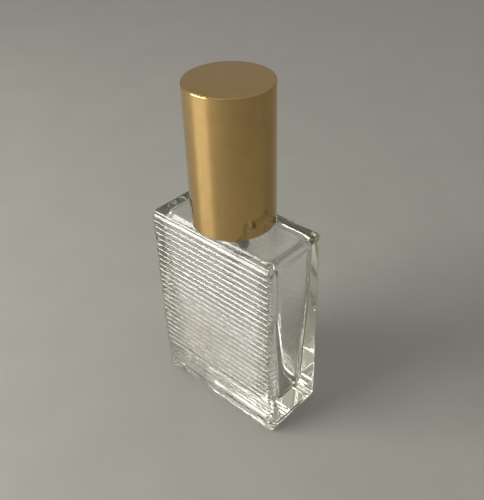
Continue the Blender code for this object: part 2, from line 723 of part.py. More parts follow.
def make_spring(name, radius, wire, low, high, turns):
    """Open helix between two seats, as one tube, with its least gap to itself printed."""
    first_z = low + wire
    rise = high - low - 2.0 * wire
    count = int(turns * SPRING_POINTS_PER_TURN) + 1
    points = []
    for index in range(count):
        share = index / (count - 1)
        angle = math.tau * turns * share
        points.append((radius * math.cos(angle), radius * math.sin(angle), first_z + rise * share))
    curve = bpy.data.curves.new(name, "CURVE")
    curve.dimensions = "3D"
    curve.bevel_depth = wire
    curve.bevel_resolution = 1
    curve.use_fill_caps = True
    spline = curve.splines.new("POLY")
    spline.points.add(count - 1)
    for point, place in zip(spline.points, points):
        point.co = (*place, 1.0)
    far_apart = range(SPRING_POINTS_PER_TURN // 2, count)
    gap = min(math.dist(points[i], points[j]) for j in far_apart for i in range(j - far_apart.start + 1))
    print(f"{name}: least gap between turns {(gap - 2.0 * wire) * 1000.0:.2f} mm")
    spring = link(name, curve)
    paint(spring, (0.70, 0.70, 0.70), 0.3, metallic=1.0)


def make_springs():
    make_spring(
        "precompression_spring",
        PRECOMPRESSION_SPRING_RADIUS,
        PRECOMPRESSION_WIRE_RADIUS,
        PRECOMPRESSION_BOTTOM_Z,
        PRECOMPRESSION_TOP_Z,
        PRECOMPRESSION_SPRING_TURNS,
    )
    make_spring(
        "return_spring",
        RETURN_SPRING_RADIUS,
        RETURN_WIRE_RADIUS,
        RETURN_SPRING_BOTTOM_Z,
        RETURN_SPRING_TOP_Z,
        RETURN_SPRING_TURNS,
    )


def make_inlet_ball():
    """Ball resting on the 45 degree cone of its cage."""
    centre_z = CONE_TOP_Z - CAGE_RADIUS + (BALL_RADIUS + SEAT_GAP) * math.sqrt(2.0)
    bm = bmesh.new()
    placed = Matrix.Translation((0.0, 0.0, centre_z))
    bmesh.ops.create_uvsphere(
        bm, u_segments=SMALL_STEPS, v_segments=BALL_RINGS, radius=BALL_RADIUS, matrix=placed
    )
    ball = mesh_object("inlet_ball", bm)
    paint(ball, (0.75, 0.75, 0.76), 0.15, metallic=1.0)


def make_dip_tube():
    """Thin tube from the housing's tail to just above the cavity's floor, cut slanting there."""
    low = BASE_THICKNESS + TUBE_CLEARANCE
    tube = washer(
        "dip_tube", TUBE_BORE_RADIUS, TUBE_RADIUS, low, TUBE_SOCKET_TOP_Z - SEAT_GAP, SMALL_STEPS
    )
    for vert in tube.data.vertices:
        if vert.co.z < BODY_HEIGHT / 2.0:
            vert.co.z += TUBE_SLANT * (1.0 + vert.co.y / TUBE_RADIUS)
    paint(tube, (0.90, 0.91, 0.90), 0.2, transmission=0.8)


def nozzle_cutter(name, radius, near, far):
    """Round cutter along the spray axis, between two distances from the Z axis."""
    cutter = lathe(name, [(0.0, near), (radius, near), (radius, far), (0.0, far)], SMALL_STEPS)
    towards_front(cutter, NOZZLE_Z)
    return cutter


def make_actuator_shell():
    inner = ACTUATOR_RADIUS - ACTUATOR_WALL
    under_z = ACTUATOR_TOP_Z - ACTUATOR_WALL
    top = arc((ACTUATOR_RADIUS - SHEET_CORNER, ACTUATOR_TOP_Z - SHEET_CORNER), SHEET_CORNER, 90.0, 0.0)
    inside_corner = SHEET_CORNER - ACTUATOR_WALL
    inside = arc((inner - inside_corner, under_z - inside_corner), inside_corner, 0.0, 90.0)
    outline = [(0.0, ACTUATOR_TOP_Z)] + top + [(ACTUATOR_RADIUS, ACTUATOR_Z), (inner, ACTUATOR_Z)]
    shell = lathe("actuator_shell", outline + inside + [(0.0, under_z)], LARGE_STEPS)
    window = NOZZLE_RADIUS + NOZZLE_WINDOW_MARGIN
    cutter = nozzle_cutter("nozzle_window", window, window, ACTUATOR_RADIUS + CUT_OVERRUN)
    combine(shell, cutter, "DIFFERENCE")
    paint(shell, (0.60, 0.44, 0.20), 0.25, metallic=1.0)


def make_actuator_core():
    """Button moulding: solid round the spray channel, hollow round the stem socket below."""
    outer = ACTUATOR_RADIUS - ACTUATOR_WALL - SEAT_GAP
    top_z = ACTUATOR_TOP_Z - ACTUATOR_WALL - SEAT_GAP
    foot_z = ACTUATOR_Z + CORE_FOOT_RISE
    hollow_z = foot_z + CORE_HOLLOW_HEIGHT
    socket = STEM_RADIUS + SEAT_GAP
    socket_top_z = STEM_TOP_Z + SEAT_GAP
    core = lathe(
        "actuator_core",
        [
            (0.0, top_z),
            (outer - SHEET_CORNER, top_z),
            (outer, top_z - SHEET_CORNER),
            (outer, foot_z),
            (outer - CORE_SKIRT_WALL, foot_z),
            (outer - CORE_SKIRT_WALL, hollow_z),
            (socket + CORE_BOSS_WALL, hollow_z),
            (socket + CORE_BOSS_WALL, foot_z),
            (socket, foot_z),
            (socket, socket_top_z),
            (CHANNEL_RADIUS, socket_top_z),
            (CHANNEL_RADIUS, NOZZLE_Z),
            (0.0, NOZZLE_Z),
        ],
        MEDIUM_STEPS,
    )
    recess_floor = outer_nozzle_face() - NOZZLE_LENGTH - SEAT_GAP
    recess = nozzle_cutter(
        "nozzle_recess", NOZZLE_RADIUS + SEAT_GAP, recess_floor, ACTUATOR_RADIUS + CUT_OVERRUN
    )
    channel = nozzle_cutter("spray_channel", CHANNEL_RADIUS, 0.0, recess_floor + SEAT_GAP)
    combine(core, recess, "DIFFERENCE")
    combine(core, channel, "DIFFERENCE")
    paint(core, (0.85, 0.85, 0.84), 0.4)


def outer_nozzle_face():
    """How far the nozzle's face stands from the Z axis, just inside the shell's skin."""
    return ACTUATOR_RADIUS - NOZZLE_SINK


def make_nozzle_insert():
    """Small cup, open at the back, with a dimple and an orifice in its face."""
    face = outer_nozzle_face()
    back = face - NOZZLE_LENGTH
    cup = NOZZLE_RADIUS - NOZZLE_CUP_WALL
    insert = lathe(
        "nozzle_insert",
        [
            (cup, back),
            (NOZZLE_RADIUS, back),
            (NOZZLE_RADIUS, face),
            (ORIFICE_DIMPLE_RADIUS, face),
            (ORIFICE_RADIUS, face - ORIFICE_DIMPLE_DEPTH),
            (ORIFICE_RADIUS, face - NOZZLE_FACE_WALL),
            (cup, face - NOZZLE_FACE_WALL),
        ],
        SMALL_STEPS,
    )
    towards_front(insert, NOZZLE_Z)
    paint(insert, (0.85, 0.85, 0.84), 0.35)


def liner_ribs():
    """Stop ribs inside the liner: their lower ends rest on the collar's rim."""
    bm = bmesh.new()
    low = (ACTUATOR_RADIUS + LINER_RIB_CLEARANCE, -LINER_RIB_WIDTH / 2.0, COLLAR_TOP_Z + SEAT_GAP)
    high = (LINER_INNER + LINER_RIB_EMBED, LINER_RIB_WIDTH / 2.0, LINER_ROOF_Z + LINER_RIB_EMBED)
    for index in range(LINER_RIB_COUNT):
        corners = box_verts(bm, low, high)
        turn = Matrix.Rotation(math.tau * (index + 0.5) / LINER_RIB_COUNT, 3, "Z")
        bmesh.ops.rotate(bm, cent=(0.0, 0.0, 0.0), matrix=turn, verts=corners)
    return mesh_object("liner_ribs", bm)


def make_cap():
    roof_top_z = LINER_ROOF_Z + LINER_ROOF
    liner_corner = CAP_CORNER - CAP_WALL
    shoulder = arc((LINER_OUTER - liner_corner, roof_top_z - liner_corner), liner_corner, 90.0, 0.0)
    foot_z = CAP_BOTTOM_Z + SEAT_GAP
    cup = [(LINER_OUTER, foot_z), (LINER_INNER, foot_z)]
    cup += [(LINER_INNER, LINER_ROOF_Z), (0.0, LINER_ROOF_Z)]
    liner = lathe("cap_liner", [(0.0, roof_top_z)] + shoulder + cup, LARGE_STEPS)
    combine(liner, liner_ribs(), "UNION")
    paint(liner, (0.85, 0.85, 0.84), 0.4)

    under_z = CAP_TOP_Z - CAP_WALL
    edge = (CAP_OUTER - CAP_CORNER, CAP_TOP_Z - CAP_CORNER)
    inner_edge = (CAP_INNER - liner_corner, under_z - liner_corner)
    outline = [(0.0, CAP_TOP_Z)] + arc(edge, CAP_CORNER, 90.0, 0.0, EDGE_STEPS)
    outline += [(CAP_OUTER, CAP_BOTTOM_Z), (CAP_INNER, CAP_BOTTOM_Z)]
    outline += arc(inner_edge, liner_corner, 0.0, 90.0) + [(0.0, under_z)]
    shell = lathe("cap_shell", outline, LARGE_STEPS)
    paint(shell, (0.60, 0.44, 0.20), 0.25, metallic=1.0)


def main():
    clear_scene()
    make_bottle()
    make_gasket()
    make_ferrule()
    make_collar()
    make_housing()
    make_turret()
    make_stem_seal()
    make_upper_stem()
    make_valve_stem()
    make_piston()
    make_springs()
    make_inlet_ball()
    make_dip_tube()
    make_actuator_shell()
    make_actuator_core()
    make_nozzle_insert()
    make_cap()


main()
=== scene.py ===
"""Looks of a small ribbed glass perfume bottle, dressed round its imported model.

The glass body is rebuilt here as one fine mesh: a block with level ribs and a faint upright
ripple on its front face, a plain back, a blown cavity, a pushed-up base and a crimp neck. The
turned pieces of the pump and the cap get fine turned meshes of the same sizes with softened
edges, and the springs get closed end coils. Sizes are in metres, apart from the outlines of
the turned pieces, which are in millimetres. Z is the axis of the neck and the pump.
"""

import math

import bmesh
import bpy
from mathutils import Matrix, Vector


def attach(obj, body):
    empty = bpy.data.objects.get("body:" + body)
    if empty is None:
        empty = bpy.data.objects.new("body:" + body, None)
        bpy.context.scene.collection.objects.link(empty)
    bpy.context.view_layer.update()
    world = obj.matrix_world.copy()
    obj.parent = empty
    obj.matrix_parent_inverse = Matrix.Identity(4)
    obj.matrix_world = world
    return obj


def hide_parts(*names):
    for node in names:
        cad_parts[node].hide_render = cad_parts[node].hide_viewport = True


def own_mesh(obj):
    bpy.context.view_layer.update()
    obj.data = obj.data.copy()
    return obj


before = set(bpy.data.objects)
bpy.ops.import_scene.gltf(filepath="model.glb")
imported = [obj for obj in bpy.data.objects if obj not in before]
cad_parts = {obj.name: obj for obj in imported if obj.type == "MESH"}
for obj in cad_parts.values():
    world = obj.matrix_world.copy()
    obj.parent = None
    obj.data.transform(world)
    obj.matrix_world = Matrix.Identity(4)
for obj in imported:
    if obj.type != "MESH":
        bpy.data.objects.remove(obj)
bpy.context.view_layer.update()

MM = 0.001

# A point closer to an axis than the first lies on it, and points closer to each other than
# the second are one
TINY = 0.000001
WELD_DISTANCE = 0.000002

# Camera, placed from the photograph
CAMERA_PLACE = (0.093252, -0.096170, 0.143730)
CAMERA_YAW = -0.75835
CAMERA_PITCH = 0.63672
CAMERA_ROLL = -0.03423
CAMERA_FOCAL_PIXELS = 688.9
PHOTO_HEIGHT_PIXELS = 500.0
SENSOR = 36.0
CAMERA_NEAR = 0.005

# Light: one window, and a dim room that is brighter overhead, with a soft warm glow and a pale
# wall all round near the horizon. A rise or a fade gives the heights of the view direction,
# 0 level and 1 straight up, between which it happens.
WINDOW_AZIMUTH = 237.0
WINDOW_ELEVATION = 21.8
WINDOW_DISTANCE = 0.45
WINDOW_WIDTH = 0.32
WINDOW_HEIGHT = 0.18
WINDOW_RADIANCE = 12.8
WINDOW_COLOUR = (1.0, 0.98, 0.94)
ROOM_COLOUR = (1.0, 0.985, 0.955)
ROOM_LOW = 0.08
ROOM_HIGH = 0.38
ROOM_RISE = (0.1, 0.75)
GLOW_AZIMUTH = 232.0
GLOW_ELEVATION = 42.0
GLOW_COLOUR = (1.0, 0.93, 0.76)
GLOW = 0.3
GLOW_EDGE_COSINE = 0.45
GLOW_CORE_COSINE = 0.95
WALL = (0.30, 0.29, 0.265)
WALL_SHARE = 0.6
WALL_FADE = (0.2, 0.65)

# Light paths, long enough for the many turns inside the glass
BOUNCES = 96
GLOSSY_BOUNCES = 32

# Finishes. Patches of one size vary a colour by a share, and the roughness between two values.
# A bump is (size across, height, stretch), and a finish may set more of the shader's sockets.
GLASS_IOR = 1.52
PLASTIC_IOR = 1.49
GLASS_TINT = (0.74, 0.735, 0.64)
GLASS_DENSITY = 28.0
NATURAL = (0.90, 0.91, 0.90)
EVEN = (1.0, 1.0, 1.0)
TURNED_LINES = (60.0, 60.0, 1.0)
FINISHES = {
    "clear_glass": {
        "colour": (0.985, 0.99, 0.985), "share": 0.004, "roughness": (0.0, 0.012),
        "patch": 0.006, "bumps": [(0.005, 0.000004, EVEN)],
        "sockets": {"Transmission Weight": 1.0, "IOR": GLASS_IOR},
    },
    "gold_aluminium": {
        "colour": (0.62, 0.42, 0.175), "share": 0.03, "roughness": (0.09, 0.12),
        "patch": 0.004,
        "bumps": [(0.0045, 0.000008, EVEN), (0.00012, 0.0000006, TURNED_LINES)],
        "sockets": {"Metallic": 1.0},
    },
    "plain_aluminium": {
        "colour": (0.80, 0.80, 0.80), "share": 0.04, "roughness": (0.24, 0.36),
        "patch": 0.003, "bumps": [(0.00012, 0.000002, TURNED_LINES)],
        "sockets": {"Metallic": 1.0},
    },
    "white_plastic": {
        "colour": (0.84, 0.84, 0.82), "share": 0.015, "roughness": (0.34, 0.46),
        "patch": 0.004, "bumps": [(0.00025, 0.000003, EVEN)], "sockets": {},
    },
    "natural_plastic": {
        "colour": NATURAL, "share": 0.01, "roughness": (0.22, 0.34),
        "patch": 0.004, "bumps": [(0.0006, 0.000004, EVEN)],
        "sockets": {"Transmission Weight": 0.6, "IOR": PLASTIC_IOR},
    },
    "tube_plastic": {
        "colour": NATURAL, "share": 0.01, "roughness": (0.08, 0.16),
        "patch": 0.004, "bumps": [(0.002, 0.000006, EVEN)],
        "sockets": {"Transmission Weight": 0.92, "IOR": PLASTIC_IOR},
    },
    "pale_gasket": {
        "colour": (0.75, 0.75, 0.73), "share": 0.05, "roughness": (0.62, 0.78),
        "patch": 0.002, "bumps": [(0.0003, 0.00001, EVEN)], "sockets": {},
    },
    "black_seal": {
        "colour": (0.08, 0.08, 0.08), "share": 0.15, "roughness": (0.6, 0.75),
        "patch": 0.0015, "bumps": [(0.0002, 0.00001, EVEN)], "sockets": {},
    },
    "steel": {
        "colour": (0.70, 0.70, 0.71), "share": 0.04, "roughness": (0.18, 0.3),
        "patch": 0.001, "bumps": [(0.0002, 0.000002, EVEN)], "sockets": {"Metallic": 1.0},
    },
    "table": {
        "colour": (0.37, 0.367, 0.338), "share": 0.02, "roughness": (0.40, 0.46),
        "patch": 0.02, "bumps": [(0.0012, 0.000004, EVEN)], "sockets": {},
    },
}

# Levels of the noise between which a patch goes from dark to light and from smooth to rough
COLOUR_LEVELS = (0.3, 0.7)
ROUGHNESS_LEVELS = (0.35, 0.65)
NOISE_DETAIL = 3.0

# Table
TABLE_HALF_SIZE = 3.0
TABLE_GAP = 0.00003

# Bottle body
HALF_WIDTH = 0.0189
FRONT_ROOT_Y = -0.0090
BACK_ROOT_Y = 0.0095
BODY_HEIGHT = 0.0532
FRONT_CORNER = 0.0010
BACK_CORNER = 0.0018
LEAST_CORNER = 0.0001
EDGE_RADIUS = 0.0013
CORNER_STEPS = 10
EDGE_STEPS = 8
BACK_ROW_STEP = 0.005
BACK_COLUMN_STEP_SHARE = 0.1

# Level ribs, and the faint upright ripple that crosses them
LEVEL_PITCH = 0.001645
LEVEL_COUNT = 31
LEVEL_HEIGHT = 0.000485
RIPPLE_PITCH = 0.00189
RIPPLE_COUNT = 19
RIPPLE_HEIGHT = 0.000015
RIPPLE_SAMPLES = 10
RIB_SAMPLES = 12
RIB_END_ANGLE = math.radians(78.0)
RIB_END_SHARE = 0.55

# Walls (side, front, back) and the blown inside
FLOOR_THICKNESS = 0.0072
SHOULDER_THICKNESS = 0.0018
UPPER_WALLS = (0.0019, 0.0017, 0.0020)
LOWER_WALLS = (0.0034, 0.0034, 0.0040)
WALL_THICKENS_BELOW = 0.040
CAVITY_CORNER = 0.0030
CAVITY_FLOOR_CORNER = 0.0026
CAVITY_ROOF_CORNER = 0.0018
CAVITY_AROUND = 144
CAVITY_ROOF_STEPS = 8
CAVITY_FLOOR_STEPS = 10
CAVITY_ROW_STEP = 0.0015
ROOF_RING_SHARES = (0.25, 0.5, 0.75)
FLOOR_RING_SHARES = (0.8, 0.55, 0.3)

# Neck
NECK_BORE = 0.0053
NECK_RADIUS = 0.0066
NECK_FILLET = 0.0006
BEAD_RADIUS = 0.0075
BEAD_BOTTOM_Z = 0.0584
LIP_Z = 0.0618
LIP_RADIUS = 0.0004
THROAT_RADIUS = 0.0012
NECK_STEPS = 144
FILLET_STEPS = 5
LIP_STEPS = 4

# Hollow of the base: its rim's width, and (inset, height) from the rim inwards
PUSH_UP_RIM = 0.0026
PUSH_UP_PROFILE = ((0.0, 0.0), (0.0001, 0.0003), (0.0003, 0.0005), (0.0006, 0.0006))
PUSH_UP_AROUND = 96

# Turned pieces in millimetres. An outline holds (radius, height) points, and a corner's
# point also has the radius of its round.
CAP_OUTER = 10.0
CAP_TOP = 88.6
CAP_FOOT = 54.45
CAP_WALL = 0.4
CAP_CORNER = 0.3
CAP_INSIDE_CORNER = 0.1
CAP_CROWN = 0.35
CROWN_POWER = 3
CROWN_RADII = (2.0, 4.0, 5.5, 6.5, 7.3, 8.0, 8.5, 9.0, 9.4, 9.7)
LINER_OUTER = 9.4
LINER_INNER = 8.8
LINER_FOOT = 54.65
LINER_ROOF = 87.2
LINER_TOP = 88.0
LINER_RIB_FOOT = 69.7
LINER_RIB_RADIUS = 7.7
LINER_RIB_HALF_WIDTH = 0.35
LINER_RIB_COUNT = 8
LINER_RIB_TAPER_SHARE = 0.9
LINER_ROOF_RADII = (6.0, 3.0)
LINER_CORNER = 0.4
SHEET_CORNER = 0.6
SHELL_INSIDE_CORNER = 0.25

COLLAR_OUTLINE = [
    (8.6, 53.4), ("corner", 8.6, 69.5, SHEET_CORNER), (7.15, 69.5), (7.15, 69.1), (8.0, 69.1),
    (8.2, 68.9), (8.2, 53.4),
]
FERRULE_OUTLINE = [
    (3.5, 65.1), (3.5, 65.4), ("corner", 8.0, 65.4, SHEET_CORNER), (8.0, 58.193), (6.9, 57.093),
    (6.688, 57.305), (7.7, 58.317), (7.7, 64.8), (7.4, 65.1),
]
GASKET_OUTLINE = [(4.9, 62.0), (7.2, 62.0), (7.2, 62.8), (4.9, 62.8)]
HOUSING_OUTLINE = [
    (7.2, 63.9), (7.2, 63.0), (4.7, 63.0), (4.7, 59.8), (3.4, 58.4), (3.4, 45.6), (2.4, 44.7),
    (2.4, 43.0), (1.9, 42.1), (1.9, 37.4), (1.0, 37.4), (1.0, 41.4), (0.6, 41.4), (0.6, 42.1),
    (1.5, 43.0), (1.5, 45.0), (1.1, 45.0), (1.1, 45.6), (2.5, 45.6), (2.5, 60.6), (3.9, 60.6),
    (3.9, 63.9),
]
TURRET_OUTLINE = [
    (1.7, 66.0), (3.3, 66.0), (3.3, 64.9), (7.2, 64.9), (7.2, 64.1), (3.7, 64.1), (3.7, 60.8),
    (3.1, 60.8), (3.1, 64.1), (1.7, 64.1),
]
SEAL_OUTLINE = [(1.7, 63.2), (2.9, 63.2), (2.9, 63.9), (1.7, 63.9)]
STEM_OUTLINE = [
    (1.0, 61.8), (2.3, 61.8), (2.3, 63.0), (1.5, 63.0), (1.5, 76.3), (0.7, 76.3), (0.7, 64.6),
    (1.0, 64.6),
]
PIN_OUTLINE = [(0.0, 54.2), (2.1, 54.2), (2.1, 54.7), (0.8, 55.8), (0.8, 64.4), (0.0, 64.4)]
PISTON_OUTLINE = [
    (1.0, 56.0), (2.3, 56.0), (2.3, 56.4), (1.9, 56.8), (1.9, 58.1), (2.3, 58.5), (2.3, 58.9),
    (1.9, 58.9), (1.7, 58.4), (1.0, 58.4),
]
SHELL_OUTLINE = [
    (0.0, 82.4), ("corner", 6.9, 82.4, SHEET_CORNER), (6.9, 69.8), (6.55, 69.8),
    ("corner", 6.55, 82.05, SHELL_INSIDE_CORNER), (0.0, 82.05),
]
CORE_OUTLINE = [
    (0.0, 81.85), (5.75, 81.85), (6.35, 81.25), (6.35, 70.3), (5.55, 70.3), (5.55, 74.8),
    (2.8, 74.8), (2.8, 70.3), (1.7, 70.3), (1.7, 76.5), (0.6, 76.5), (0.6, 78.4), (0.0, 78.4),
]

# Turned round an axis along the spray, in (radius, distance from the stem's axis) points
NOZZLE_OUTLINE = [
    (1.3, 4.55), (2.0, 4.55), (2.0, 6.75), (0.8, 6.75), (0.2, 6.45), (0.2, 6.05), (1.3, 6.05),
]
NOZZLE_Z = 78.4
NOZZLE_WINDOW = [(0.0, 2.4), (2.4, 2.4), (2.4, 7.9), (0.0, 7.9)]
NOZZLE_RECESS = [(0.0, 4.35), (2.2, 4.35), (2.2, 7.9), (0.0, 7.9)]
SPRAY_CHANNEL = [(0.0, 0.0), (0.6, 0.0), (0.6, 4.55), (0.0, 4.55)]
VENT_HOLE = [(0.0, 2.3), (0.4, 2.3), (0.4, 5.3), (0.0, 5.3)]
VENT_Z = 59.3

# Low and high corner of the bar that cuts the pin's first groove
FLUTE_LOW = (0.55, -0.25, 56.0)
FLUTE_HIGH = (1.05, 0.25, 65.4)
FLUTE_COUNT = 4

# Dip tube with its slanted foot, and the ball, which hangs a gap off its 45 degree cone
TUBE_OUTLINE = [(0.5, 8.0), (0.8, 8.0), (0.8, 41.2), (0.5, 41.2)]
TUBE_SLANT = 0.8
TUBE_EDGE = 0.05
TUBE_STEPS = 48
BALL_RADIUS = 1.25
BALL_GAP = 0.2
BALL_CONE_TIP_Z = 41.5
BALL_CENTRE_Z = BALL_CONE_TIP_Z + math.sqrt(2.0) * (BALL_RADIUS + BALL_GAP)
BALL_SUBDIVISIONS = 5

# Springs, with closed turns at both ends
RETURN_SPRING = {"radius": 1.6, "wire": 0.2, "low": 45.8, "high": 54.0, "turns": 6.5}
PISTON_SPRING = {"radius": 1.4, "wire": 0.15, "low": 58.6, "high": 61.6, "turns": 3.5}
CLOSED_TURNS = 0.9
CLOSED_PITCH_SHARE = 2.1

# Softened edges of the turned pieces, in millimetres, and facets
SOFT_EDGE = 0.12
SHEET_EDGE = 0.06
NOZZLE_EDGE = 0.08
CUTTER_EDGE = 0.0001
EDGE_SHARE = 0.4
NEARLY_STRAIGHT = math.radians(150.0)
SOFT_STEPS = 3
CORNER_ARC_STEPS = 6
SHARP_ANGLE = math.radians(34.0)
FINE_STEPS = 160
SMALL_STEPS = 96
SPRING_STEPS = 40
WIRE_STEPS = 12


# Meshes


def smooth_mesh(name, bm):
    """Turns a bmesh into a smooth-shaded object with outward faces."""
    bmesh.ops.remove_doubles(bm, verts=bm.verts, dist=WELD_DISTANCE)
    bmesh.ops.recalc_face_normals(bm, faces=bm.faces)
    mesh = bpy.data.meshes.new(name)
    bm.to_mesh(mesh)
    bm.free()
    mesh.shade_smooth()
    obj = bpy.data.objects.new(name, mesh)
    bpy.context.scene.collection.objects.link(obj)
    return obj


def quads(bm, grid, closed=False):
    """Faces between neighbouring rows of equal length."""
    for near, far in zip(grid, grid[1:]):
        last = len(near) if closed else len(near) - 1
        for i in range(last):
            j = (i + 1) % len(near)
            bm.faces.new((near[i], near[j], far[j], far[i]))


def fan(bm, ring, middle):
    """Closes a ring with triangles round a middle point."""
    centre = bm.verts.new(middle)
    for i in range(len(ring)):
        bm.faces.new((ring[i], ring[(i + 1) % len(ring)], centre))


def arc(centre, radius, start, end, steps):
    """Points of an arc in the (radius, height) plane, with its angles in degrees."""
    points = []
    for i in range(steps + 1):
        angle = math.radians(start + (end - start) * i / steps)
        across, height = radius * math.cos(angle), radius * math.sin(angle)
        points.append((centre[0] + across, centre[1] + height))
    return points


def circle(bm, radius, z, steps):
    """A ring of points round Z."""
    ring = []
    for i in range(steps):
        angle = math.tau * i / steps
        ring.append(bm.verts.new((radius * math.cos(angle), radius * math.sin(angle), z)))
    return ring


# Glass


def fade(distance, length):
    """0 at a distance of 0 or less, 1 at the length or more, smooth between."""
    share = min(1.0, max(0.0, distance / length))
    return share * share * (3.0 - 2.0 * share)


def arches(position, centre, pitch, count, height):
    """Height of a row of round arches that stand side by side, 0 outside the row."""
    phase = (position - centre) / pitch + count / 2.0
    if phase <= 0.0 or phase >= count:
        return 0.0
    half = pitch / 2.0
    across = (phase % 1.0 - 0.5) * pitch
    radius = (half * half + height * height) / (2.0 * height)
    return math.sqrt(radius * radius - across * across) - (radius - height)


def spread(low, high, step):
    """Evenly spaced positions from low to high, about a step apart, in an even count."""
    count = 2 * max(1, round((high - low) / step / 2.0))
    return [low + (high - low) * i / count for i in range(count + 1)]


def edge_rows(flat):
    """(height, inset) of the body's rows: bottom edge, the given flat heights, top edge."""
    rows = []
    for i in range(EDGE_STEPS):
        angle = math.pi / 2.0 * (1.0 - i / EDGE_STEPS)
        rows.append((EDGE_RADIUS * (1.0 - math.sin(angle)), EDGE_RADIUS * (1.0 - math.cos(angle))))
    rows += [(z, 0.0) for z in flat]
    rows += [(BODY_HEIGHT - z, inset) for z, inset in reversed(rows[:EDGE_STEPS])]
    return rows


def face_columns(flat):
    """(share across, angle) of a face's columns: left corner, the flat places, right corner."""
    columns = [(-1.0, -math.pi / 2.0 * (1.0 - i / CORNER_STEPS)) for i in range(CORNER_STEPS)]
    columns += [(share, 0.0) for share in flat]
    columns += [(1.0, -angle) for share, angle in reversed(columns[:CORNER_STEPS])]
    return columns


def face_patch(bm, rows, columns, root_y, corner, side, lift):
    """One wide face with its two corners. side is -1 in front, 1 behind; lift gives the ribs."""
    grid = []
    for z, inset in rows:
        radius = max(LEAST_CORNER, corner - inset)
        centre = HALF_WIDTH - inset - radius
        ring = []
        for share, angle in columns:
            px = centre * share + radius * math.sin(angle)
            depth = inset + radius - radius * math.cos(angle)
            out = lift(px, z, angle)
            ring.append(bm.verts.new((px, root_y - side * depth + side * out, z)))
        grid.append(ring)
    quads(bm, grid)
    return grid


def front_lift(x, z, angle):
    """Level ribs that fade out round the upright corners, with a faint upright ripple."""
    end = fade(1.0 - abs(angle) / RIB_END_ANGLE, RIB_END_SHARE)
    levels = arches(z, BODY_HEIGHT / 2.0, LEVEL_PITCH, LEVEL_COUNT, LEVEL_HEIGHT)
    ripples = arches(x, 0.0, RIPPLE_PITCH, RIPPLE_COUNT, RIPPLE_HEIGHT)
    return end * (levels + ripples)


def plain(x, z, angle):
    """No ribs."""
    return 0.0


def outer_faces(bm):
    """The wide faces, the plain sides and their rounded edges. Returns the lowest and the
    highest loop.
    """
    low, high = EDGE_RADIUS, BODY_HEIGHT - EDGE_RADIUS
    column_step = RIPPLE_PITCH / RIPPLE_SAMPLES
    front = face_patch(
        bm,
        edge_rows(spread(low, high, LEVEL_PITCH / RIB_SAMPLES)),
        face_columns(spread(-1.0, 1.0, column_step / HALF_WIDTH)),
        FRONT_ROOT_Y,
        FRONT_CORNER,
        -1.0,
        front_lift,
    )
    back = face_patch(
        bm,
        edge_rows(spread(low, high, BACK_ROW_STEP)),
        face_columns(spread(-1.0, 1.0, BACK_COLUMN_STEP_SHARE)),
        BACK_ROOT_Y,
        BACK_CORNER,
        1.0,
        plain,
    )
    for column in (0, -1):
        for rows in (range(EDGE_STEPS + 1), range(-EDGE_STEPS - 1, 0)):
            quads(bm, [[front[r][column], back[r][column]] for r in rows])
        near = [ring[column] for ring in front[EDGE_STEPS:len(front) - EDGE_STEPS]]
        far = [ring[column] for ring in back[EDGE_STEPS:len(back) - EDGE_STEPS]]
        bm.faces.new(near + far[::-1])
    bottom = front[0] + back[0][::-1]
    top = front[-1] + back[-1][::-1]
    return bottom, top


def split_loop(loop):
    """The two halves of a loop, which share its two points at x = 0."""
    middle = [v for v in loop if abs(v.co.x) < TINY]
    first, last = sorted(loop.index(v) for v in middle)
    return loop[first:last + 1], loop[last:] + loop[:first + 1]


def halves(bm, outer, inner):
    """Closes the flat ring between two loops with two faces, cut at the loops' x = 0."""
    for outer_half in split_loop(outer):
        middle = sum(v.co.x for v in outer_half)
        end = outer_half[-1].co
        for inner_half in split_loop(inner):
            if sum(v.co.x for v in inner_half) * middle > 0.0:
                if (inner_half[0].co - end).length > (inner_half[-1].co - end).length:
                    inner_half = inner_half[::-1]
                bm.faces.new(outer_half + inner_half)


def neck(bm):
    """Outside and lip of the neck. Returns the ring at its foot and the ring in its bore."""
    slope = BEAD_RADIUS - NECK_RADIUS
    foot = (NECK_RADIUS + NECK_FILLET, BODY_HEIGHT + NECK_FILLET)
    outer_lip = (BEAD_RADIUS - LIP_RADIUS, LIP_Z - LIP_RADIUS)
    inner_lip = (NECK_BORE + LIP_RADIUS, LIP_Z - LIP_RADIUS)
    outline = arc(foot, NECK_FILLET, 270.0, 180.0, FILLET_STEPS)
    outline += [(NECK_RADIUS, BEAD_BOTTOM_Z - slope), (BEAD_RADIUS, BEAD_BOTTOM_Z)]
    outline += arc(outer_lip, LIP_RADIUS, 0.0, 90.0, LIP_STEPS)
    outline += arc(inner_lip, LIP_RADIUS, 90.0, 180.0, LIP_STEPS)
    rings = [circle(bm, radius, z, NECK_STEPS) for radius, z in outline]
    quads(bm, rings, closed=True)
    return rings[0], rings[-1]


def rounded_outline(half_x, low_y, high_y, radius, count):
    """Points round a rounded rectangle, evenly spaced from the middle of its +X side."""
    middle = (low_y + high_y) / 2.0
    far_x, far_y = half_x - radius, (high_y - low_y) / 2.0 - radius
    corners = [(far_x, far_y), (-far_x, far_y), (-far_x, -far_y), (far_x, -far_y)]
    straights = [2.0 * far_y, 2.0 * far_x] * 2
    quarter = math.pi / 2.0 * radius
    total = sum(straights) + 4.0 * quarter
    points = []
    for i in range(count):
        along = (far_y + total * i / count) % total
        side = 0
        while along > straights[side] + quarter:
            along -= straights[side] + quarter
            side += 1
        past = along - straights[side]
        start = math.pi / 2.0 * side
        angle, back = start + max(0.0, past) / radius, min(0.0, past)
        points.append((
            corners[side][0] + radius * math.cos(angle) - back * math.sin(start),
            middle + corners[side][1] + radius * math.sin(angle) + back * math.cos(start),
        ))
    return points


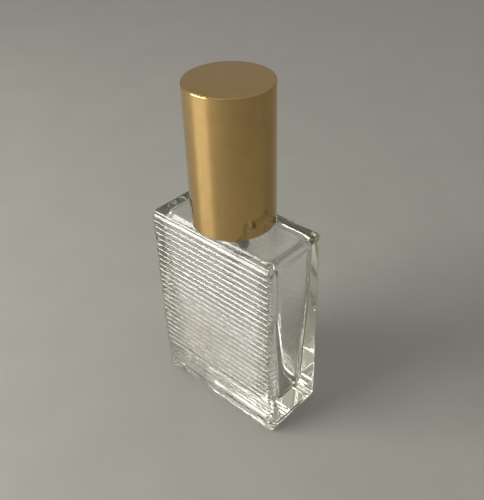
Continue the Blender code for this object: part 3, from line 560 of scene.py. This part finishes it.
def walls(z):
    """Thickness of the side, front and back walls at a height."""
    share = fade(WALL_THICKENS_BELOW - z, WALL_THICKENS_BELOW - FLOOR_THICKNESS)
    return [thin + (thick - thin) * share for thin, thick in zip(UPPER_WALLS, LOWER_WALLS)]


def cavity_ring(bm, inset, z):
    """A ring of the cavity's wall, drawn in by an inset."""
    side, front, back = walls(z)
    outline = rounded_outline(
        HALF_WIDTH - side - inset,
        FRONT_ROOT_Y + front + inset,
        BACK_ROOT_Y - back - inset,
        max(LEAST_CORNER, CAVITY_CORNER - inset),
        CAVITY_AROUND,
    )
    return [bm.verts.new((x, y, z)) for x, y in outline]


def cavity(bm, bore_ring):
    """The blown inside, from the bore's lower end to the middle of the floor."""
    roof = BODY_HEIGHT - SHOULDER_THICKNESS
    centre = (NECK_BORE + THROAT_RADIUS, roof + THROAT_RADIUS)
    throat = arc(centre, THROAT_RADIUS, 180.0, 270.0, FILLET_STEPS)
    rings = [bore_ring] + [circle(bm, radius, z, CAVITY_AROUND) for radius, z in throat]
    rim = cavity_ring(bm, CAVITY_ROOF_CORNER, roof)
    foot = rings[-1]
    for share in ROOF_RING_SHARES:
        rings.append([bm.verts.new(near.co.lerp(far.co, share)) for near, far in zip(foot, rim)])
    rings.append(rim)
    for i in range(1, CAVITY_ROOF_STEPS + 1):
        angle = math.pi / 2.0 * i / CAVITY_ROOF_STEPS
        inset = CAVITY_ROOF_CORNER * (1.0 - math.sin(angle))
        rings.append(cavity_ring(bm, inset, roof - CAVITY_ROOF_CORNER * (1.0 - math.cos(angle))))
    low = FLOOR_THICKNESS + CAVITY_FLOOR_CORNER
    for z in spread(roof - CAVITY_ROOF_CORNER, low, -CAVITY_ROW_STEP)[1:]:
        rings.append(cavity_ring(bm, 0.0, z))
    for i in range(1, CAVITY_FLOOR_STEPS + 1):
        angle = math.pi / 2.0 * i / CAVITY_FLOOR_STEPS
        inset = CAVITY_FLOOR_CORNER * (1.0 - math.cos(angle))
        rings.append(cavity_ring(bm, inset, low - CAVITY_FLOOR_CORNER * math.sin(angle)))
    last = rings[-1]
    middle = sum((v.co for v in last), Vector()) / len(last)
    for share in FLOOR_RING_SHARES:
        rings.append([bm.verts.new(middle.lerp(v.co, share)) for v in last])
    quads(bm, rings, closed=True)
    fan(bm, rings[-1], middle)


def push_up(bm):
    """The base's shallow hollow. Returns its rim in the standing plane."""
    rings = []
    for inset, z in PUSH_UP_PROFILE:
        outline = rounded_outline(
            HALF_WIDTH - PUSH_UP_RIM - inset,
            FRONT_ROOT_Y + PUSH_UP_RIM + inset,
            BACK_ROOT_Y - PUSH_UP_RIM - inset,
            PUSH_UP_RIM,
            PUSH_UP_AROUND,
        )
        rings.append([bm.verts.new((x, y, z)) for x, y in outline])
    quads(bm, rings, closed=True)
    bm.faces.new(rings[-1])
    return rings[0]


def make_glass(made):
    """The bottle's glass as one closed mesh."""
    bm = bmesh.new()
    bottom, top = outer_faces(bm)
    foot, bore = neck(bm)
    halves(bm, top, foot)
    halves(bm, bottom, push_up(bm))
    cavity(bm, bore)
    glass = smooth_mesh("bottle_glass", bm)
    weighted = glass.modifiers.new("normals", "WEIGHTED_NORMAL")
    weighted.mode = "FACE_AREA"
    weighted.keep_sharp = False
    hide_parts("bottle")
    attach(glass, "base")
    glass.data.materials.append(made["clear_glass"])


# Materials


def mix_node(nodes, links, factor, low, high):
    """A colour between two colours."""
    mix = nodes.new("ShaderNodeMix")
    mix.data_type = "RGBA"
    colours = [socket for socket in mix.inputs if socket.type == "RGBA"]
    colours[0].default_value = (*low, 1.0)
    colours[1].default_value = (*high, 1.0)
    links.new(factor, mix.inputs["Factor"])
    return next(socket for socket in mix.outputs if socket.type == "RGBA")


def blend(nodes, links, value, low, high, from_value, to_value):
    """A smooth step of a value, between two levels of it."""
    step = nodes.new("ShaderNodeMapRange")
    step.interpolation_type = "SMOOTHSTEP"
    step.inputs["From Min"].default_value = low
    step.inputs["From Max"].default_value = high
    step.inputs["To Min"].default_value = from_value
    step.inputs["To Max"].default_value = to_value
    links.new(value, step.inputs["Value"])
    return step.outputs["Result"]


def scaled(nodes, links, colour, strength):
    """A colour as a vector, times a strength."""
    scale = nodes.new("ShaderNodeVectorMath")
    scale.operation = "SCALE"
    scale.inputs[0].default_value = colour
    links.new(strength, scale.inputs["Scale"])
    return scale.outputs["Vector"]


def added(nodes, links, first, second):
    """The sum of two colours held as vectors."""
    total = nodes.new("ShaderNodeVectorMath")
    links.new(first, total.inputs[0])
    links.new(second, total.inputs[1])
    return total.outputs["Vector"]


def noise(nodes, links, size, stretch=EVEN):
    """Noise in the object's own space, with features about a size across, in metres."""
    place = nodes.new("ShaderNodeTexCoord")
    mapping = nodes.new("ShaderNodeMapping")
    mapping.inputs["Scale"].default_value = [1.0 / (size * s) for s in stretch]
    texture = nodes.new("ShaderNodeTexNoise")
    texture.inputs["Scale"].default_value = 1.0
    texture.inputs["Detail"].default_value = NOISE_DETAIL
    links.new(place.outputs["Object"], mapping.inputs["Vector"])
    links.new(mapping.outputs["Vector"], texture.inputs["Vector"])
    return texture.outputs["Fac"]


def add_bumps(nodes, links, bumps):
    """Bumps given as (size, height, stretch), one on the other."""
    normal = None
    for size, height, stretch in bumps:
        bump = nodes.new("ShaderNodeBump")
        bump.inputs["Strength"].default_value = 1.0
        bump.inputs["Distance"].default_value = height
        links.new(noise(nodes, links, size, stretch), bump.inputs["Height"])
        if normal is not None:
            links.new(normal, bump.inputs["Normal"])
        normal = bump.outputs["Normal"]
    return normal


def make_finish(name, finish):
    """A material with patches and bumps. Its plain values stand in where no nodes are read."""
    material = bpy.data.materials.new(name)
    material.use_nodes = True
    nodes, links = material.node_tree.nodes, material.node_tree.links
    shader = nodes["Principled BSDF"]
    colour, share, rough = finish["colour"], finish["share"], finish["roughness"]
    shader.inputs["Base Color"].default_value = (*colour, 1.0)
    shader.inputs["Roughness"].default_value = sum(rough) / 2.0
    for socket, value in finish["sockets"].items():
        shader.inputs[socket].default_value = value
    patches = noise(nodes, links, finish["patch"])
    dark = [c * (1.0 - share) for c in colour]
    light = [min(1.0, c * (1.0 + share)) for c in colour]
    contrast = blend(nodes, links, patches, *COLOUR_LEVELS, 0.0, 1.0)
    links.new(mix_node(nodes, links, contrast, dark, light), shader.inputs["Base Color"])
    varied = blend(nodes, links, patches, *ROUGHNESS_LEVELS, *rough)
    links.new(varied, shader.inputs["Roughness"])
    links.new(add_bumps(nodes, links, finish["bumps"]), shader.inputs["Normal"])
    return material


def tint(material, colour, density):
    """Takes light away along its way through a material, as thick glass does."""
    nodes, links = material.node_tree.nodes, material.node_tree.links
    absorption = nodes.new("ShaderNodeVolumeAbsorption")
    absorption.inputs["Color"].default_value = (*colour, 1.0)
    absorption.inputs["Density"].default_value = density
    links.new(absorption.outputs["Volume"], nodes["Material Output"].inputs["Volume"])


def make_materials():
    """All materials, by name."""
    made = {name: make_finish(name, finish) for name, finish in FINISHES.items()}
    tint(made["clear_glass"], GLASS_TINT, GLASS_DENSITY)
    return made


# Turned pieces


def corners_drawn(outline):
    """The outline in millimetres, with its marked corners drawn as quarter rounds."""
    points = []
    for number, entry in enumerate(outline):
        if entry[0] != "corner":
            points.append(entry)
            continue
        radius, height, round_radius = entry[1:]
        start, end = (0.0, 90.0) if outline[number - 1][0] == radius else (90.0, 0.0)
        centre = (radius - round_radius, height - round_radius)
        points += arc(centre, round_radius, start, end, CORNER_ARC_STEPS)
    return points


def softened(points, edge, closed):
    """The outline with its sharp corners replaced by small curves."""
    result = []
    count = len(points)
    for i, (radius, height) in enumerate(points):
        here = Vector((radius, height))
        if not closed and i in (0, count - 1):
            result.append(tuple(here))
            continue
        before = Vector(points[i - 1]) - here
        after = Vector(points[(i + 1) % count]) - here
        if before.angle(after) > NEARLY_STRAIGHT:
            result.append(tuple(here))
            continue
        reach = min(edge, EDGE_SHARE * before.length, EDGE_SHARE * after.length)
        first, last = here + before.normalized() * reach, here + after.normalized() * reach
        for step in range(SOFT_STEPS + 1):
            t = step / SOFT_STEPS
            point = first * (1.0 - t) ** 2 + here * 2.0 * t * (1.0 - t) + last * t * t
            result.append(tuple(point))
    return result


def turned_mesh(bm, points, steps, closed):
    """Turns (radius, height) points in metres round Z."""
    rings = []
    for radius, z in points:
        if radius < TINY:
            rings.append([bm.verts.new((0.0, 0.0, z))] * steps)
        else:
            rings.append(circle(bm, radius, z, steps))
    if closed:
        rings.append(rings[0])
    for near, far in zip(rings, rings[1:]):
        for i in range(steps):
            j = (i + 1) % steps
            corners = list(dict.fromkeys((near[i], near[j], far[j], far[i])))
            if len(corners) > 2:
                bm.faces.new(corners)


def turned(name, outline, steps=FINE_STEPS, edge=SOFT_EDGE):
    """A piece turned round Z from an outline in millimetres, with softened edges."""
    points = corners_drawn(outline)
    closed = points[0][0] > 0.0
    points = softened(points, edge, closed)
    bm = bmesh.new()
    turned_mesh(bm, [(radius * MM, z * MM) for radius, z in points], steps, closed)
    return smooth_mesh(name, bm)


def drop(obj):
    """Deletes an object and its mesh."""
    mesh = obj.data
    bpy.data.objects.remove(obj, do_unlink=True)
    bpy.data.meshes.remove(mesh)


def cut(obj, tool):
    """Takes the tool out of the object, for good, and deletes the tool."""
    modifier = obj.modifiers.new("cut", "BOOLEAN")
    modifier.operation = "DIFFERENCE"
    modifier.solver = "EXACT"
    modifier.object = tool
    whole = obj.data
    shaped = obj.evaluated_get(bpy.context.evaluated_depsgraph_get())
    obj.data = bpy.data.meshes.new_from_object(shaped)
    obj.modifiers.clear()
    bpy.data.meshes.remove(whole)
    drop(tool)


def spray_cutter(outline, height):
    """Round cutter along the spray axis, -Y, from (radius, distance) points."""
    tool = turned("cutter", outline, SMALL_STEPS, CUTTER_EDGE)
    swing(tool, height)
    return tool


def swing(obj, height):
    """Swings a turned piece from +Z round to -Y and lifts it to a height in millimetres."""
    turn = Matrix.Rotation(math.pi / 2.0, 4, "X")
    obj.data.transform(Matrix.Translation((0.0, 0.0, height * MM)) @ turn)


def finish_piece(made, obj, node, body, slot, look=None):
    """Gives a piece its normals, its place in the model and its slot's material, or another."""
    obj.data.shade_smooth()
    obj.data.set_sharp_from_angle(angle=SHARP_ANGLE)
    weighted = obj.modifiers.new("normals", "WEIGHTED_NORMAL")
    weighted.mode = "FACE_AREA"
    weighted.keep_sharp = True
    obj.data.materials.clear()
    obj.data.materials.append(made[look or slot])
    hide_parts(node)
    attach(obj, body)


# Cap, collar, pump and button


def crown_height(radius):
    """Height of the cap's slightly domed top at a radius."""
    return CAP_TOP - CAP_CROWN * (radius / CAP_OUTER) ** CROWN_POWER


def make_cap(made):
    """The cap's metal shell."""
    inner, ceiling = CAP_OUTER - CAP_WALL, CAP_TOP - CAP_WALL
    outline = [(0.0, CAP_TOP)] + [(radius, crown_height(radius)) for radius in CROWN_RADII]
    outline += [("corner", CAP_OUTER, CAP_TOP - CAP_CROWN, CAP_CORNER), (CAP_OUTER, CAP_FOOT)]
    outline += [(inner, CAP_FOOT), ("corner", inner, ceiling, CAP_INSIDE_CORNER), (0.0, ceiling)]
    cap = turned("cap_outer", outline, FINE_STEPS, SHEET_EDGE)
    finish_piece(made, cap, "cap_shell", "cap", "gold_aluminium")


def liner_ring(bm, z, ribbed):
    """A ring of the liner's wall, with its inward ribs or without."""
    ring = []
    half = math.asin(LINER_RIB_HALF_WIDTH / LINER_INNER)
    for index in range(LINER_RIB_COUNT):
        middle = math.tau * (index + 0.5) / LINER_RIB_COUNT
        turn = Matrix.Rotation(middle, 3, "Z")
        wall = LINER_INNER * math.cos(half)
        inner = LINER_RIB_RADIUS if ribbed else wall
        tip = LINER_RIB_TAPER_SHARE
        for x, y in ((wall, -1.0), (inner, -tip), (inner, tip), (wall, 1.0)):
            place = turn @ Vector((x, y * LINER_RIB_HALF_WIDTH, 0.0))
            ring.append(bm.verts.new((place.x * MM, place.y * MM, z * MM)))
        steps = FINE_STEPS // LINER_RIB_COUNT
        span = math.tau / LINER_RIB_COUNT - 2.0 * half
        for step in range(1, steps):
            angle = middle + half + span * step / steps
            x, y = LINER_INNER * MM * math.cos(angle), LINER_INNER * MM * math.sin(angle)
            ring.append(bm.verts.new((x, y, z * MM)))
    return ring


def plain_ring(bm, like, radius, z):
    """A round ring with its points in line with another ring's."""
    ring = []
    for vert in like:
        angle = math.atan2(vert.co.y, vert.co.x)
        across, along = radius * MM * math.cos(angle), radius * MM * math.sin(angle)
        ring.append(bm.verts.new((across, along, z * MM)))
    return ring


def make_liner(made):
    """Plastic cup with stop ribs on its inside."""
    bm = bmesh.new()
    inside = [
        liner_ring(bm, LINER_FOOT, False),
        liner_ring(bm, LINER_RIB_FOOT, False),
        liner_ring(bm, LINER_RIB_FOOT, True),
        liner_ring(bm, LINER_ROOF, True),
    ]
    like = inside[0]
    roof = [plain_ring(bm, like, radius, LINER_ROOF) for radius in LINER_ROOF_RADII]
    outside = [plain_ring(bm, like, LINER_OUTER, LINER_FOOT)]
    centre = (LINER_OUTER - LINER_CORNER, LINER_TOP - LINER_CORNER)
    for radius, z in arc(centre, LINER_CORNER, 0.0, 90.0, CORNER_ARC_STEPS):
        outside.append(plain_ring(bm, like, radius, z))
    quads(bm, inside[::-1] + outside, closed=True)
    quads(bm, [inside[-1]] + roof, closed=True)
    fan(bm, roof[-1], (0.0, 0.0, LINER_ROOF * MM))
    fan(bm, outside[-1], (0.0, 0.0, LINER_TOP * MM))
    liner = smooth_mesh("cap_inner", bm)
    finish_piece(made, liner, "cap_liner", "cap", "white_plastic")


def make_metal(made):
    """The gold sleeve and the crimped ferrule under it."""
    collar = turned("collar_sleeve", COLLAR_OUTLINE, FINE_STEPS, SHEET_EDGE)
    finish_piece(made, collar, "collar", "base", "gold_aluminium")
    ferrule = turned("ferrule_crimped", FERRULE_OUTLINE, FINE_STEPS, SHEET_EDGE)
    finish_piece(made, ferrule, "crimp_ferrule", "base", "plain_aluminium")


def make_pump(made):
    """Gasket, housing, turret, seal, stem, pin and piston."""
    gasket = turned("gasket_ring", GASKET_OUTLINE)
    finish_piece(made, gasket, "neck_gasket", "base", "pale_gasket")
    housing = turned("housing_moulding", HOUSING_OUTLINE)
    cut(housing, spray_cutter(VENT_HOLE, VENT_Z))
    finish_piece(made, housing, "pump_housing", "base", "natural_plastic")
    turret = turned("turret_moulding", TURRET_OUTLINE)
    finish_piece(made, turret, "turret", "base", "white_plastic")
    seal = turned("seal_ring", SEAL_OUTLINE)
    finish_piece(made, seal, "stem_seal", "base", "black_seal")
    stem = turned("stem_moulding", STEM_OUTLINE, SMALL_STEPS)
    finish_piece(made, stem, "upper_stem", "stem", "white_plastic")
    pin = turned("pin_moulding", PIN_OUTLINE, SMALL_STEPS)
    cut(pin, flute_cutter())
    finish_piece(made, pin, "valve_stem", "stem", "white_plastic")
    piston = turned("piston_moulding", PISTON_OUTLINE, SMALL_STEPS)
    finish_piece(made, piston, "piston", "piston", "white_plastic")


def flute_cutter():
    """The pin's grooves, as one cutter of crossed bars."""
    bm = bmesh.new()
    size = [(high - low) * MM for low, high in zip(FLUTE_LOW, FLUTE_HIGH)]
    middle = [(high + low) * MM / 2.0 for low, high in zip(FLUTE_LOW, FLUTE_HIGH)]
    placed = Matrix.Translation(middle) @ Matrix.Diagonal((*size, 1.0))
    for index in range(FLUTE_COUNT):
        bar = bmesh.ops.create_cube(bm, size=1.0, matrix=placed)["verts"]
        turn = Matrix.Rotation(math.tau * index / FLUTE_COUNT, 3, "Z")
        bmesh.ops.rotate(bm, cent=(0.0, 0.0, 0.0), matrix=turn, verts=bar)
    return smooth_mesh("cutter", bm)


def make_tube_and_ball(made):
    """The dip tube, cut on a slant at its foot, and the ball of the inlet valve."""
    tube = turned("tube_drawn", TUBE_OUTLINE, TUBE_STEPS, TUBE_EDGE)
    middle = (TUBE_OUTLINE[0][1] + TUBE_OUTLINE[2][1]) * MM / 2.0
    for vert in tube.data.vertices:
        if vert.co.z < middle:
            vert.co.z += TUBE_SLANT * MM * (1.0 + vert.co.y / (TUBE_OUTLINE[1][0] * MM))
    finish_piece(made, tube, "dip_tube", "base", "natural_plastic", "tube_plastic")
    bm = bmesh.new()
    placed = Matrix.Translation((0.0, 0.0, BALL_CENTRE_Z * MM))
    bmesh.ops.create_icosphere(
        bm, subdivisions=BALL_SUBDIVISIONS, radius=BALL_RADIUS * MM, matrix=placed
    )
    ball = smooth_mesh("ball_ground", bm)
    finish_piece(made, ball, "inlet_ball", "inlet_ball", "steel")


def coil_height(turn, size):
    """Height of the wire's middle after a number of turns: closed at both ends, open between."""
    low, high = size["low"] + size["wire"], size["high"] - size["wire"]
    closed_rise = CLOSED_PITCH_SHARE * size["wire"] * CLOSED_TURNS
    if turn < CLOSED_TURNS:
        return low + closed_rise * turn / CLOSED_TURNS
    if turn > size["turns"] - CLOSED_TURNS:
        return high - closed_rise * (size["turns"] - turn) / CLOSED_TURNS
    share = (turn - CLOSED_TURNS) / (size["turns"] - 2.0 * CLOSED_TURNS)
    return low + closed_rise + (high - low - 2.0 * closed_rise) * share


def coil(name, size):
    """A wound wire as a closed tube."""
    count = int(size["turns"] * SPRING_STEPS)
    bm = bmesh.new()
    rings = []
    for i in range(count + 1):
        turn = size["turns"] * i / count
        angle = math.tau * turn
        outward = Vector((math.cos(angle), math.sin(angle), 0.0))
        centre = outward * size["radius"] + Vector((0.0, 0.0, coil_height(turn, size)))
        ring = []
        for k in range(WIRE_STEPS):
            round_angle = math.tau * k / WIRE_STEPS
            side = outward * math.cos(round_angle) + Vector((0.0, 0.0, math.sin(round_angle)))
            ring.append(bm.verts.new((centre + side * size["wire"]) * MM))
        rings.append(ring)
    quads(bm, rings, closed=True)
    bm.faces.new(rings[0])
    bm.faces.new(rings[-1])
    return smooth_mesh(name, bm)


def make_springs(made):
    """The return spring on the base and the precompression spring on the stem, each with a mesh of
    its own.
    """
    spring = coil("return_coil", RETURN_SPRING)
    finish_piece(made, spring, "return_spring", "base", "steel")
    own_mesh(spring)
    spring = coil("piston_coil", PISTON_SPRING)
    finish_piece(made, spring, "precompression_spring", "stem", "steel")
    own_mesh(spring)


def make_actuator(made):
    """The push button: its metal cover, its moulding and its spray insert."""
    shell = turned("button_cover", SHELL_OUTLINE, FINE_STEPS, SHEET_EDGE)
    cut(shell, spray_cutter(NOZZLE_WINDOW, NOZZLE_Z))
    finish_piece(made, shell, "actuator_shell", "actuator", "gold_aluminium")
    core = turned("button_moulding", CORE_OUTLINE)
    cut(core, spray_cutter(NOZZLE_RECESS, NOZZLE_Z))
    cut(core, spray_cutter(SPRAY_CHANNEL, NOZZLE_Z))
    finish_piece(made, core, "actuator_core", "actuator", "white_plastic")
    nozzle = turned("nozzle_cup", NOZZLE_OUTLINE, SMALL_STEPS, NOZZLE_EDGE)
    swing(nozzle, NOZZLE_Z)
    finish_piece(made, nozzle, "nozzle_insert", "actuator", "white_plastic")


# Table, camera and light


def make_floor(made):
    """A pale table, a hair below the base."""
    bm = bmesh.new()
    placed = Matrix.Translation((0.0, 0.0, -TABLE_GAP))
    bmesh.ops.create_grid(bm, x_segments=1, y_segments=1, size=TABLE_HALF_SIZE, matrix=placed)
    floor = smooth_mesh("floor", bm)
    floor.data.materials.append(made["table"])


def make_camera():
    """The camera, turned and placed as the photograph's."""
    forward = Vector((
        math.sin(CAMERA_YAW) * math.cos(CAMERA_PITCH),
        math.cos(CAMERA_YAW) * math.cos(CAMERA_PITCH),
        -math.sin(CAMERA_PITCH),
    ))
    right = forward.cross(Vector((0.0, 0.0, 1.0))).normalized()
    up = right.cross(forward)
    turned_right = math.cos(CAMERA_ROLL) * right + math.sin(CAMERA_ROLL) * up
    turned_up = -math.sin(CAMERA_ROLL) * right + math.cos(CAMERA_ROLL) * up
    data = bpy.data.cameras.new("camera")
    data.sensor_width = SENSOR
    data.lens = CAMERA_FOCAL_PIXELS * SENSOR / PHOTO_HEIGHT_PIXELS
    data.clip_start = CAMERA_NEAR
    camera = bpy.data.objects.new("camera", data)
    bpy.context.scene.collection.objects.link(camera)
    matrix = camera.matrix_world.copy()
    for row in range(3):
        matrix[row][0] = turned_right[row]
        matrix[row][1] = turned_up[row]
        matrix[row][2] = -forward[row]
        matrix[row][3] = CAMERA_PLACE[row]
    camera.matrix_world = matrix
    bpy.context.scene.camera = camera


def compass(azimuth, elevation):
    """Direction of an azimuth from +X and an elevation, in degrees."""
    a, e = math.radians(azimuth), math.radians(elevation)
    return Vector((math.cos(a) * math.cos(e), math.sin(a) * math.cos(e), math.sin(e)))


def make_window():
    """A soft light that faces the bottle, as bright as its radiance says."""
    data = bpy.data.lights.new("window", "AREA")
    data.shape = "RECTANGLE"
    data.size = WINDOW_WIDTH
    data.size_y = WINDOW_HEIGHT
    data.energy = WINDOW_RADIANCE * math.pi * WINDOW_WIDTH * WINDOW_HEIGHT
    data.color = WINDOW_COLOUR
    light = bpy.data.objects.new("window", data)
    bpy.context.scene.collection.objects.link(light)
    direction = compass(WINDOW_AZIMUTH, WINDOW_ELEVATION)
    light.location = Vector((0.0, 0.0, BODY_HEIGHT)) + direction * WINDOW_DISTANCE
    light.rotation_mode = "QUATERNION"
    light.rotation_quaternion = direction.to_track_quat("Z", "Y")


def room_colour(nodes, links):
    """What a direction of the room gives: dim, brighter overhead, a warm glow, a pale low wall."""
    place = nodes.new("ShaderNodeTexCoord")
    split = nodes.new("ShaderNodeSeparateXYZ")
    links.new(place.outputs["Generated"], split.inputs[0])
    towards = nodes.new("ShaderNodeVectorMath")
    towards.operation = "DOT_PRODUCT"
    towards.inputs[1].default_value = compass(GLOW_AZIMUTH, GLOW_ELEVATION)
    links.new(place.outputs["Generated"], towards.inputs[0])
    height, nearness = split.outputs["Z"], towards.outputs["Value"]
    room = blend(nodes, links, height, *ROOM_RISE, ROOM_LOW, ROOM_HIGH)
    glow = blend(nodes, links, nearness, GLOW_EDGE_COSINE, GLOW_CORE_COSINE, 0.0, GLOW)
    wall = blend(nodes, links, height, *WALL_FADE, WALL_SHARE, 0.0)
    warm = scaled(nodes, links, GLOW_COLOUR, glow)
    lit = added(nodes, links, scaled(nodes, links, ROOM_COLOUR, room), warm)
    return added(nodes, links, lit, scaled(nodes, links, WALL, wall))


def make_world():
    """The room, and for the camera an even wall, about as bright as the room is low down."""
    world = bpy.data.worlds.new("studio")
    bpy.context.scene.world = world
    world.use_nodes = True
    nodes, links = world.node_tree.nodes, world.node_tree.links
    room = nodes["Background"]
    links.new(room_colour(nodes, links), room.inputs["Color"])
    wall = nodes.new("ShaderNodeBackground")
    wall.inputs["Color"].default_value = (*WALL, 1.0)
    seen = nodes.new("ShaderNodeLightPath")
    mix = nodes.new("ShaderNodeMixShader")
    links.new(seen.outputs["Is Camera Ray"], mix.inputs["Fac"])
    links.new(room.outputs["Background"], mix.inputs[1])
    links.new(wall.outputs["Background"], mix.inputs[2])
    links.new(mix.outputs["Shader"], nodes["World Output"].inputs["Surface"])


materials = make_materials()
make_glass(materials)
make_cap(materials)
make_liner(materials)
make_metal(materials)
make_actuator(materials)
make_pump(materials)
make_springs(materials)
make_tube_and_ball(materials)
make_floor(materials)
make_camera()
make_world()
make_window()
scene = bpy.context.scene
scene.view_settings.view_transform = "Standard"
scene.cycles.max_bounces = BOUNCES
scene.cycles.transmission_bounces = BOUNCES
scene.cycles.glossy_bounces = GLOSSY_BOUNCES
